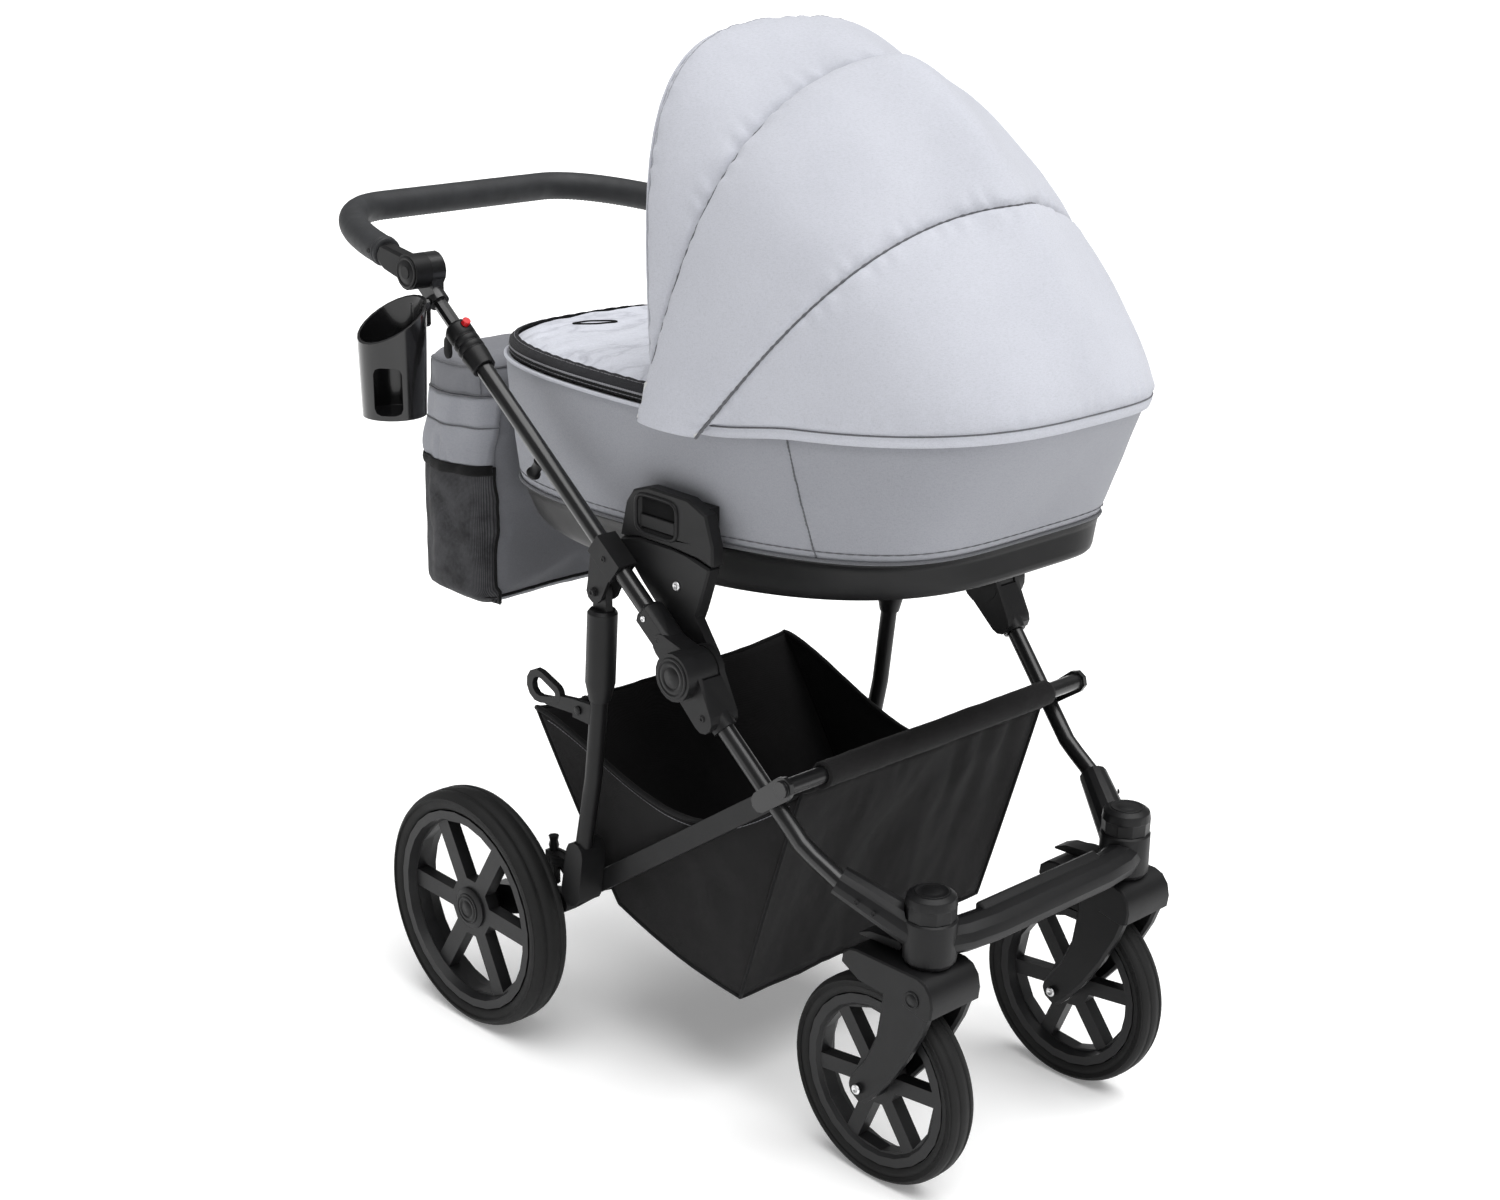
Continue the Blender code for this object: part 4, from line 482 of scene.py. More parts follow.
def laid_on(obj, points, lift):
    """Points moved to the nearest place on a piece, and lifted off it by a little."""
    tree = surface_tree(obj)
    result = []
    for point in points:
        spot, normal, _, _ = tree.find_nearest(Vector(point) + ORIGIN)
        result.append(spot + normal * lift - ORIGIN)
    return result


def seen_from(obj, points, direction):
    """Where lines along a direction first meet a piece; points it misses stay as they are."""
    tree = surface_tree(obj)
    away = Vector(direction).normalized()
    head_start = 0.4
    result = []
    for point in points:
        spot = tree.ray_cast(Vector(point) + ORIGIN - away * head_start, away)[0]
        result.append(spot - ORIGIN if spot else Vector(point))
    return result


def creased(obj, height):
    """Moves each point of a piece along its normal by height(place)."""
    mesh = obj.data
    moves = [v.normal * height(v.co - ORIGIN) for v in mesh.vertices]
    for vertex, move in zip(mesh.vertices, moves):
        vertex.co += move
    mesh.update()


def puffed(obj, cap, voxel=0.006, hold=None):
    """Padded cloth: remeshed, blown up by a short cloth simulation, held near its shape, softened."""
    materials = list(obj.data.materials)
    remesh = obj.modifiers.new("remesh", "REMESH")
    remesh.mode = "VOXEL"
    remesh.voxel_size = voxel
    applied(obj)
    rest = [v.co.copy() for v in obj.data.vertices]
    cloth = obj.modifiers.new("cloth", "CLOTH")
    values = {"quality": 4, "mass": 0.3, "tension_stiffness": 15.0, "compression_stiffness": 15.0,
              "bending_stiffness": 0.4, "use_pressure": True, "uniform_pressure_force": 4.0}
    for key, value in values.items():
        setattr(cloth.settings, key, value)
    cloth.settings.effector_weights.gravity = 0.0
    last_frame = 20
    cloth.point_cache.frame_start = 1
    cloth.point_cache.frame_end = last_frame
    for step in range(1, last_frame + 1):
        bpy.context.scene.frame_set(step)
    applied(obj)
    bpy.context.scene.frame_set(1)
    for vertex, start in zip(obj.data.vertices, rest):
        move = vertex.co - start
        limit = cap * (hold(start - ORIGIN) if hold else 1.0)
        if move.length > limit:
            vertex.co = start + move.normalized() * limit
    soften = obj.modifiers.new("soften", "SUBSURF")
    soften.levels = 1
    soften.render_levels = 1
    applied(obj)
    obj.data.materials.clear()
    for material in materials:
        obj.data.materials.append(material)
    obj.data.polygons.foreach_set("use_smooth", [True] * len(obj.data.polygons))


def ride(obj, body="carrycot"):
    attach(obj, body)


# CAD nodes: welded, smoothed by angle and given fine rounded edges

def smoothing_group(angle):
    """Geometry nodes that weld a CAD node and shade it smooth, apart from edges above an angle."""
    group = bpy.data.node_groups.new("smooth_by_angle", "GeometryNodeTree")
    for way in ("INPUT", "OUTPUT"):
        group.interface.new_socket("Geometry", in_out=way, socket_type="NodeSocketGeometry")
    chain = [new_node(group, "GeometryNodeRemoveAttribute", {"Name": "custom_normal"}),
             new_node(group, "GeometryNodeMergeByDistance", {"Distance": 0.00002}),
             new_node(group, "GeometryNodeSetShadeSmooth", {"Shade Smooth": True}),
             new_node(group, "GeometryNodeSetShadeSmooth", {"Shade Smooth": False}, domain="EDGE")]
    shape = new_node(group, "NodeGroupInput").outputs[0]
    for node in chain:
        group.links.new(shape, node.inputs["Geometry"])
        shape = node.outputs["Geometry"]
    group.links.new(shape, new_node(group, "NodeGroupOutput").inputs[0])
    measure = new_node(group, "GeometryNodeInputMeshEdgeAngle")
    sharp = new_node(group, "FunctionNodeCompare", {"B": angle}, data_type="FLOAT", operation="GREATER_THAN")
    group.links.new(measure.outputs["Unsigned Angle"], sharp.inputs["A"])
    group.links.new(sharp.outputs["Result"], chain[-1].inputs["Selection"])
    return group


def dress_cad_nodes():
    """Material, smooth shading and rounded edges of the solids that show as they are."""
    smoothing = smoothing_group(radians(32))
    rounder = smoothing_group(radians(48))
    slots = {part["node"]: part["material_slot"] for part in frame["record"]["subparts"]}
    for name, node in frame["nodes"].items():
        material = SLOT_MATERIAL[slots[name]]
        width, segments, angle, group = 0.0006, 2, 34, smoothing
        if name.startswith(("caster_knob", "swivel_lock", "lower_link", "rear_leg")):
            material = PLASTIC
        if name == "cup_holder":
            material = GLOSS
        if name.startswith("caster_crossbar"):
            width, segments, angle, group = 0.0030, 3, 24, rounder
        if name.startswith(("cot_catch", "adaptor", "lower_socket", "leg_bracket")):
            width, segments, angle = 0.0016, 3, 30
        node.data.materials.clear()
        node.data.materials.append(material)
        node.data.polygons.foreach_set("material_index", [0] * len(node.data.polygons))
        modifier = node.modifiers.new("smooth", "NODES")
        modifier.node_group = group
        bevel = node.modifiers.new("edges", "BEVEL")
        bevel.width = width
        bevel.segments = segments
        bevel.limit_method = "ANGLE"
        bevel.angle_limit = radians(angle)


# Carrycot

RIM_FOOT_X, RIM_HEAD_X, RIM_HALF_Y, RIM_POWER = -0.125, 0.692, 0.2050, 3.27
PIPING_FOOT_X, PIPING_HEAD_X, PIPING_HALF_Y, PIPING_POWER = -0.080, 0.624, 0.185, 4.8
FLOOR_FOOT_X, FLOOR_HEAD_X, FLOOR_HALF_Y, FLOOR_POWER = -0.074, 0.632, 0.160, 4.6
COT_POINTS = 180
COT_MIDDLE_X = 0.28
COT_WALL = 0.0065


def rim_z(x):
    return 0.812 + 0.134 * max(0.0, x - 0.190) ** 2


def piping_z(x):
    u = x - 0.238
    return 0.669 + 0.05 * u + 0.1485 * u * u


def floor_z(x):
    u = x - 0.210
    return 0.605 + 0.045 * u + 0.28 * u * u


RIM_RING = superellipse(RIM_FOOT_X, RIM_HEAD_X, RIM_HALF_Y, RIM_POWER, COT_POINTS)
PIPING_RING = superellipse(PIPING_FOOT_X, PIPING_HEAD_X, PIPING_HALF_Y, PIPING_POWER, COT_POINTS)
FLOOR_RING = superellipse(FLOOR_FOOT_X, FLOOR_HEAD_X, FLOOR_HALF_Y, FLOOR_POWER, COT_POINTS)


def inset(ring, distance):
    """A ring of (x, y) moved inwards along its own normals."""
    result = []
    count = len(ring)
    for i, (x, y) in enumerate(ring):
        (ax, ay), (bx, by) = ring[i - 1], ring[(i + 1) % count]
        tx, ty = bx - ax, by - ay
        length = hypot(tx, ty) or 1.0
        result.append((x - ty / length * distance, y + tx / length * distance))
    return result


def ring_row(ring, distance, height, rise):
    """Ring of (x, y) drawn in by a distance, a little above or below a height curve."""
    return [(x, y, height(x) + rise) for x, y in inset(ring, distance)]


def side_ring(v, out):
    """Ring of the carrycot's side at a height share v from the lower piping to the rim."""
    swell = 1 + 0.012 * 4 * v * (1 - v)
    ring = [(px + (rx - px) * v, (py + (ry - py) * v) * swell)
            for (px, py), (rx, ry) in zip(PIPING_RING, RIM_RING)]
    return [(x, y, piping_z(x) + (rim_z(x) - piping_z(x)) * v) for x, y in inset(ring, -out)]


def cot_body():
    """Cloth outside, rolled rim and pale lining inside, in one piece."""
    rows = []
    steps = 18
    for k in range(steps + 1):
        v = k / steps
        tuck = -0.0012 * (exp(-(v / 0.03) ** 2) + exp(-((1 - v) / 0.03) ** 2))
        fade = sin(pi * v)
        soft = []
        for x, y, z in side_ring(v, tuck):
            wave = 0.0011 * ruffle((x, y, z), 11, 3.0) + 0.0005 * ruffle((x, y, z), 38, 8.0)
            along = (x - COT_MIDDLE_X) * 0.3
            length = hypot(along, y) or 1.0
            soft.append((x + along / length * wave * fade, y + y / length * wave * fade, z))
        rows.append(soft)
    outside = len(rows)
    rows += [ring_row(RIM_RING, distance, rim_z, rise)
             for distance, rise in ((0.0015, 0.0018), (0.0045, 0.0018), (COT_WALL, -0.001))]
    rows += [side_ring(v, -COT_WALL) for v in (0.8, 0.5, 0.2)]
    rows.append(ring_row(PIPING_RING, COT_WALL, piping_z, 0.002))
    rows += [ring_row(FLOOR_RING, distance, floor_z, rise)
             for distance, rise in ((0.010, 0.012), (0.020, 0.0072))]
    # Outside: the grey cloth darkened as painted shade. Inside: the pale lining.
    body = skin("cot_cover", rows, [SHADED_CLOTH, LINING], True, lambda k: 0 if k < outside + 1 else 1,
                (False, True))
    ride(body)
    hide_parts("cot_shell")


def cot_tray():
    """Black moulded tray under the cloth, with a lip below the lower piping."""
    rows = [[(COT_MIDDLE_X + (x - COT_MIDDLE_X) * 0.5, y * 0.5,
              floor_z(COT_MIDDLE_X + (x - COT_MIDDLE_X) * 0.5)) for x, y in FLOOR_RING]]
    rows += [ring_row(FLOOR_RING, distance, floor_z, rise)
             for distance, rise in ((0.016, 0.0), (0.006, 0.0012), (0.001, 0.0050))]
    for v in (0.25, 0.5, 0.75, 0.93):
        ring = [(fx + (px - fx) * v, fy + (py - fy) * v)
                for (fx, fy), (px, py) in zip(FLOOR_RING, PIPING_RING)]
        rows.append([(x, y, floor_z(x) + (piping_z(x) - floor_z(x)) * v) for x, y in ring])
    rows += [ring_row(PIPING_RING, distance, piping_z, rise)
             for distance, rise in ((-0.0012, -0.0035), (-0.0006, -0.0010), (0.0040, -0.0010))]
    rows += [ring_row(FLOOR_RING, distance, floor_z, rise)
             for distance, rise in ((0.007, 0.0060), (0.018, 0.0032))]
    ride(skin("cot_tray", rows, [PLASTIC], True, caps=(True, True)))


def cot_trim():
    """Two pipings, a sewn line and the seams up the sides."""
    lower = ring_row(PIPING_RING, -0.0012, piping_z, 0.0004)
    ride(cord_tube("cot_lower_piping", lower, 0.0021, CLOTH_DARK, True))
    sewn = resampled(side_ring(0.075, 0.0004), 420, True)
    ride(cord_tube("cot_lower_stitch", sewn, 0.0007, CLOTH_DARK, True, 6, notched(3, 0.35)))
    ride(cord_tube("cot_rim_piping", ring_row(RIM_RING, -0.0006, rim_z, 0.0006), 0.0022, CLOTH, True))
    for side, sign in SIDES:
        seam = []
        for k in range(25):
            v = 0.02 + 0.96 * k / 24
            target = 0.487 - 0.028 * v
            ring = [p for p in side_ring(v, 0.0003) if p[1] * sign > 0.05]
            nearest = min(ring, key=lambda p: abs(p[0] - target))
            seam.append((target, nearest[1], nearest[2]))
        seam = resampled(seam, 60)
        ride(cord_tube(f"cot_seam_{side}", seam, 0.0012, CLOTH_DARK, sides=6, twist=notched(2, 0.6)))


def cot_mattress():
    """Quilted pad on the carrycot's floor, with a piping round its top."""
    ring = superellipse(FLOOR_FOOT_X + 0.027, FLOOR_HEAD_X - 0.027, FLOOR_HALF_Y - 0.016, 4.0, 120)
    base = 0.0095
    profile = ((0.030, 0.0), (0.012, 0.0), (0.003, 0.003), (0.0, 0.010), (0.0, 0.021), (0.004, 0.028),
               (0.012, 0.033), (0.030, 0.0355), (0.060, 0.0375), (0.095, 0.0380))
    rows = [[(x, y, floor_z(x) + base + height) for x, y in inset(ring, distance)]
            for distance, height in profile]
    mattress = skin("mattress_pad", rows, [LINING], True, caps=(True, True))
    puffed(mattress, 0.004, 0.007, lambda p: smoothstep(0.004, 0.016, p.z - floor_z(p.x) - base))

    def quilting(p):
        up = p.z - floor_z(p.x) - base
        if up < 0.026:
            return 0.0
        lines = min(abs(sin(pi * (p.x + p.y) / 0.085)), abs(sin(pi * (p.x - p.y) / 0.085)))
        return -0.0022 * exp(-(lines / 0.10) ** 2) + 0.0008 * ruffle(p, 26)

    creased(mattress, quilting)
    ride(mattress)
    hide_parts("mattress")
    rim = [(x, y, floor_z(x) + base + 0.0295) for x, y in inset(ring, 0.001)]
    ride(cord_tube("mattress_piping", laid_on(mattress, rim, 0.0003), 0.0016, LINING, True))


# Apron over the foot half

APRON_BASE = 0.8147
APRON_EDGE_X = 0.262
APRON_MIDDLE_X = 0.075


def apron_outline(count):
    """Ring of (x, y) round the rim's foot half, with a straight edge under the hood."""
    whole = superellipse(RIM_FOOT_X + 0.001, RIM_HEAD_X, 0.1995, RIM_POWER, 400)
    part = [p for p in whole if p[0] < APRON_EDGE_X]
    front = sorted((p for p in part if p[1] < 0), key=lambda p: -p[0])
    back = sorted((p for p in part if p[1] >= 0), key=lambda p: p[0])
    ring = ([(APRON_EDGE_X, front[0][1], 0)] + [(x, y, 0) for x, y in front + back]
            + [(APRON_EDGE_X, back[-1][1], 0)])
    return [(p.x, p.y) for p in resampled(ring, count, True)]


def apron():
    """Padded cover that zips to the foot half of the rim, with a sewn loop on it."""
    ring = apron_outline(180)
    profile = ((0.80, 0.0), (0.955, 0.0), (0.975, 0.003), (0.975, 0.012), (0.958, 0.0165), (0.925, 0.0180),
               (0.87, 0.0190), (0.80, 0.0196), (0.70, 0.0202), (0.58, 0.0206), (0.45, 0.0208),
               (0.32, 0.0210), (0.20, 0.0210), (0.10, 0.0210))
    rows = [[(APRON_MIDDLE_X + (x - APRON_MIDDLE_X) * factor, y * factor, APRON_BASE + height)
             for x, y in ring] for factor, height in profile]
    # The apron's cloth is brightened as painted light and darkened along its creases as painted shade.
    cover = skin("apron_cover", rows, [APRON_LIT_CLOTH], True, caps=(True, True))
    puffed(cover, 0.006, 0.0055, lambda p: smoothstep(0.010, 0.019, p.z - APRON_BASE))

    def wrinkles(p):
        top = smoothstep(0.012, 0.019, p.z - APRON_BASE)
        near_hood = smoothstep(0.02, 0.22, p.x)
        edge = smoothstep(0.10, 0.19, abs(p.y))
        slanted = ruffle((p.x * 0.9 + p.y * 0.5, (p.y - p.x * 0.4) * 0.35, 0), 30, 2.0)
        fine = ruffle((p.x * 0.5 - p.y * 0.8, p.y * 0.6, 0), 70, 5.0)
        return top * (0.0022 * slanted + 0.0010 * fine) * (0.5 + 0.9 * near_hood + 0.9 * edge)

    creased(cover, wrinkles)
    ride(cover)
    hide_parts("apron")
    apron_zip([(APRON_MIDDLE_X + (x - APRON_MIDDLE_X) * 0.990, y * 0.990) for x, y in reversed(ring)])
    middle = Vector((-0.032, -0.045, 0.84))
    along = Vector((0.025, 0.047, 0)).normalized()
    across = Vector((-along.y, along.x, 0))
    oval = [middle + along * (0.027 * cos(a)) + across * (0.0085 * sin(a)) for a in circle(40)]
    ride(cord_tube("apron_loop", laid_on(cover, oval, 0.0008), 0.0011, BLACK_TAPE, True))


def apron_zip(outline):
    """Two rows of zip tape round an outline, their teeth, and a sewn line below and above."""
    tape = [(-0.0020, 0.0010), (0.0016, 0.0012), (0.0019, 0.0022), (0.0019, 0.0078), (0.0008, 0.0088),
            (0.0008, 0.0094), (0.0017, 0.0102), (0.0012, 0.0150), (-0.0024, 0.0186), (-0.0088, 0.0212),
            (-0.0094, 0.0204), (-0.0060, 0.0160), (-0.0040, 0.0100)]
    band = []
    for out, rise in tape + tape[:1]:
        row = []
        for i, (x, y) in enumerate(inset(outline, -out)):
            gather = 0.0006 * sin(i * 2.1) * smoothstep(0.012, 0.020, rise)
            row.append((x, y, APRON_BASE + rise + gather))
        band.append(row)
    ride(skin("apron_zip", band, [BLACK_TAPE, ZIP_TAPE], True, lambda k: 1 if 5 <= k <= 9 else 0))
    lines = (("apron_zip_teeth", -0.0014, 0.0091, 700, 0.0016, 6, notched(2, 0.72)),
             ("apron_stitch_lower", -0.0020, 0.0040, 620, 0.0005, 5, notched(3, 0.3)),
             ("apron_stitch_upper", 0.0046, 0.0196, 620, 0.0005, 5, notched(3, 0.3)))
    for name, drawn_in, rise, count, radius, sides, twist in lines:
        line = resampled([(x, y, APRON_BASE + rise) for x, y in inset(outline, drawn_in)], count, True)
        ride(cord_tube(name, line, radius, ZIP_TEETH, True, sides, twist))


# Hood: one curved sheet over three panels, seamed along two bows

BOWS = (  # base, crest (x, z), half width, and how square it is upwards and sideways, head first
    ((0.3420, 0.8000), (0.5885, 1.0549), 0.2227, (3.92, 2.40)),
    ((0.2525, 0.8050), (0.3951, 1.1842), 0.2253, (4.12, 1.975)),
    ((0.2730, 0.8135), (0.2484, 1.2140), 0.2200, (4.34, 3.52)),
)
BOW_LEAN = (0.024, 0.024, 0.010)
HOOD_COLUMNS = 240
HOOD_REAR_X = 0.338
PANEL_RADIUS = 0.40


def half_arc(tall, wide):
    """Shares (along, across) of half a superellipse, from the right side to the left."""
    fine = 900
    for i in range(-fine, fine + 1):
        a = pi / 2 * i / fine
        yield bent(cos(a), 2 / tall), bent(sin(a), 2 / wide)


def bow(index, out=0.0):
    """Points along a bow, moved outwards by a little; off its middle the bow leans back and inwards."""
    (bx, bz), (cx, cz), half_y, (tall, wide) = BOWS[index]
    points = []
    for c, s in half_arc(tall, wide):
        lean = BOW_LEAN[index] * sin(pi * abs(s)) ** 1.3
        points.append((bx + (cx - bx) * c - 0.975 * lean, half_y * s - copysign(lean, s),
                       bz + (cz - bz) * c - 0.137 * lean))
    ring = resampled(points, HOOD_COLUMNS + 1)
    if out:
        centre = Vector((HOOD_PIVOT[0], 0, HOOD_PIVOT[1]))
        ring = [p + Vector((p.x - centre.x, p.y * 1.6, p.z - centre.z)).normalized() * out for p in ring]
    return ring


def hood_base(out, rise):
    """Line round the head half of the rim, lower at its two ends."""
    middle, half_x = (RIM_FOOT_X + RIM_HEAD_X) / 2, (RIM_HEAD_X - RIM_FOOT_X) / 2
    points = []
    for c, s in half_arc(RIM_POWER, RIM_POWER):
        x = middle + (half_x + out) * c
        y = (RIM_HALF_Y + out) * s
        if x < HOOD_REAR_X:
            continue
        droop = -0.0110 * (1 - smoothstep(HOOD_REAR_X, 0.48, x))
        points.append((x, y, rim_z(x) + rise + droop))
    return resampled(points, HOOD_COLUMNS + 1)


def hood_panel_rows(first, second, bulge_scale, steps, seed, puff, skew=1.0):
    """Cloth between two bows: rolled in over the lower seam, drawn in and puckered at both."""
    rows = []
    for k in range(steps + 1):
        t = (1 - cos(pi * k / steps)) / 2
        row = []
        for i, (a, b) in enumerate(zip(first, second)):
            chord = (b - a).length
            point = a.lerp(b, t)
            outward = Vector((point.x - HOOD_PIVOT[0], point.y * 0.8, point.z - HOOD_PIVOT[1]))
            outward.normalize()
            low_gap, high_gap = t * chord, (1 - t) * chord
            rise = puff * (1 - exp(-low_gap / 0.023)) * (1 - exp(-high_gap / 0.012))
            skewed = t ** skew
            rise += bulge_scale * chord * chord / (2 * PANEL_RADIUS) * skewed * (1 - skewed)
            gap = min(low_gap, high_gap)
            dip = -0.0030 * exp(-(gap / 0.0040) ** 2)
            pull = sin(i * 0.93 + 1.7 * sin(i * 0.31 + seed)) * (0.6 + 0.9 * ruffle(point, 14, seed + 3))
            pucker = 0.0024 * pull * exp(-(gap / 0.016) ** 2) * (1 - exp(-(gap / 0.003) ** 2))
            wave = 0.0036 * ruffle(point, 5.5, seed) + 0.0022 * ruffle(point, 13, seed)
            wave += 0.0007 * ruffle(point, 33, seed)
            row.append(point + outward * (rise + dip + pucker + wave * min(1.0, gap / 0.03)))
        rows.append(row)
    return rows


def blended(obj):
    """The piece's placement is baked into its mesh."""
    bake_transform(obj)


def hood():
    """The sheet over the panels, then its seams, bows, front edge, stitches and base piping."""
    base_low = hood_base(0.0040, -0.0025)
    base = hood_base(0.0085, 0.0120)
    bows = [bow(k) for k in range(3)]
    rows = [base_low, [a.lerp(b, 0.6) + Vector((0, 0, -0.001)) for a, b in zip(base_low, base)]]
    rows += hood_panel_rows(base, bows[0], 0.42, 24, 1.0, 0.006)
    rows += hood_panel_rows(bows[0], bows[1], 1.05, 32, 4.0, 0.0115, 1.7)[1:]
    rows += hood_panel_rows(bows[1], bows[2], 0.90, 26, 7.0, 0.007, 1.4)[1:]
    cover = skin("hood_cover", rows, [CLOTH, LINING])
    thickened(cover, 0.0022).material_offset = 1
    faced_outwards(cover, cover.data.polygons[len(cover.data.polygons) // 2], place(0.40, 0, 0.95))
    blended(cover)
    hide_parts("hood_rear", "hood_middle", "hood_front")
    for index, name in ((0, "rear"), (1, "middle")):
        line = resampled(bow(index, -0.0024), 520)
        blended(cord_tube(f"hood_seam_{name}", line, 0.0011, CLOTH_DARK, sides=6,
                          twist=lambda i: 0.75 + abs(i / 260 - 1) + 0.40 * sin(i * 1.1) * sin(i * 0.23)))
        inside = resampled(bow(index, -0.0085), 110)[6:-6]
        blended(cord_tube(f"hood_bow_{name}", inside, 0.0032, PLASTIC))
    edge = resampled(bow(2, -0.0012), 260)
    blended(cord_tube("hood_front_edge", edge, 0.0017, CLOTH, sides=10,
                      twist=lambda i: 1.0 + 0.06 * sin(i * 0.9)))
    inner = [p.lerp(q, 0.085) for p, q in zip(bow(2, 0.0002), bow(1, 0.0002))]
    stitches = laid_on(cover, resampled(inner, 520), 0.0002)
    # The stitches use the grey cloth darkened as painted shade.
    blended(cord_tube("hood_edge_stitch", stitches, 0.0005, SHADED_CLOTH, sides=6, twist=notched(4, 0.3)))
    hem = laid_on(cover, resampled(hood_base(0.0075, 0.0095), 500), 0.0002)
    blended(cord_tube("hood_base_piping", hem, 0.0009, CLOTH_DARK, sides=6))


# Bag at the foot end

BAG_X = (-0.270, -0.1256)
BAG_HALF_Y = 0.155
BAG_Z = (0.464, 0.800)


def bag_ring(z, out):
    """Level ring of the bag's cloth, moved outwards by a little."""
    share = min(1.0, max(0.0, (z - BAG_Z[0]) / (BAG_Z[1] - BAG_Z[0])))
    swell = sin(pi * share) ** 0.7
    x_low, x_high = BAG_X
    return superellipse(x_low + 0.006 - 0.004 * swell - out, x_high - 0.006 + 0.002 * swell + out,
                        BAG_HALF_Y - 0.006 + 0.003 * swell + out, 6.0, 112)


def bag():
    """Changing bag: a padded body with a softer, narrower top, its pockets and bindings."""
    rows = []
    levels = 40
    for k in range(levels + 1):
        share = k / levels
        z = BAG_Z[0] + 0.003 + (BAG_Z[1] - BAG_Z[0] - 0.006) * share
        draw = 0.019 * (max(0.0, 1 - share / 0.065) ** 2 + max(0.0, (share - 0.94) / 0.06) ** 2)
        draw += 0.006 * smoothstep(0.55, 1.0, share)
        rows.append([(x, y, z) for x, y in inset(bag_ring(z, 0.0), draw)])
    # The bag's body uses the grey cloth darkened as painted shade.
    body = skin("bag_body", rows, [BAG_SHADED_CLOTH], True, caps=(True, True))
    puffed(body, 0.005)

    def folds(p):
        low = smoothstep(0.0, 0.05, p.z - BAG_Z[0])
        sag = ruffle((p.x * 0.8, p.y * 0.8, p.z * 1.5), 9, 6.0)
        crease = ruffle((p.x, p.y * 0.7, p.z + 0.5 * p.y), 24, 1.0)
        fine = ruffle((p.x, p.y, p.z * 0.6), 52, 4.0)
        return 0.0024 * sag * low + 0.0013 * crease + 0.0005 * fine

    creased(body, folds)
    ride(body)
    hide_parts("bag")
    bindings = (("top", 0.745, CLOTH_DARK, 0.0012, "fabric"),
                ("base", 0.478, BLACK_TAPE, 0.0024, "black_fabric"),
                ("lid", 0.786, CLOTH_DARK, 0.0016, "fabric"))
    for name, z, material, radius, slot in bindings:
        ring = laid_on(body, [(x, y, z) for x, y in bag_ring(z, 0.004)], 0.0006)
        ride(cord_tube(f"bag_{name}_binding", ring, radius, material, True))
    for side, sign in SIDES:
        for end, x in (("near", BAG_X[1] - 0.004), ("far", BAG_X[0] + 0.004)):
            line = [(x, sign * (BAG_HALF_Y - 0.004), 0.479 + 0.301 * k / 40) for k in range(41)]
            line = laid_on(body, line, 0.0004)
            ride(cord_tube(f"bag_corner_{side}_{end}", line, 0.0012, CLOTH_DARK, sides=6))
    bag_hanger()
    tab_outline = [(0.0075 * cos(a) * (1 if sin(a) < 0 else 0.92), 0.014 * bent(sin(a), 0.6))
                   for a in circle(32)]
    for side, sign in SIDES:
        bag_pocket(body, side, sign)
        tab = [[Vector((-0.190 + u, sign * (0.1480 + depth), 0.800 + w)) for u, w in tab_outline]
               for depth in (0.0, 0.0026)]
        ride(skin(f"bag_tab_{side}", tab, [BLACK_TAPE], True, caps=(True, True)))
    bag_front_pocket(body)


def bag_hanger():
    """Flap from the bag's top to the carrycot's rim."""
    start_x, end_x = BAG_X[1] - 0.060, RIM_FOOT_X + 0.010
    rows = []
    for k in range(8):
        t = k / 8
        x = start_x + (end_x - start_x) * t
        z = 0.803 + 0.010 * smoothstep(0, 1, t) + 0.001 * sin(6 * t)
        rows.append([(x, -0.045 + 0.09 * i / 10, z + 0.0006 * ruffle((x, i, 0), 2)) for i in range(11)])
    flap = skin("bag_hanger", rows, [BLACK_TAPE])
    thickened(flap, 0.003)
    ride(flap)


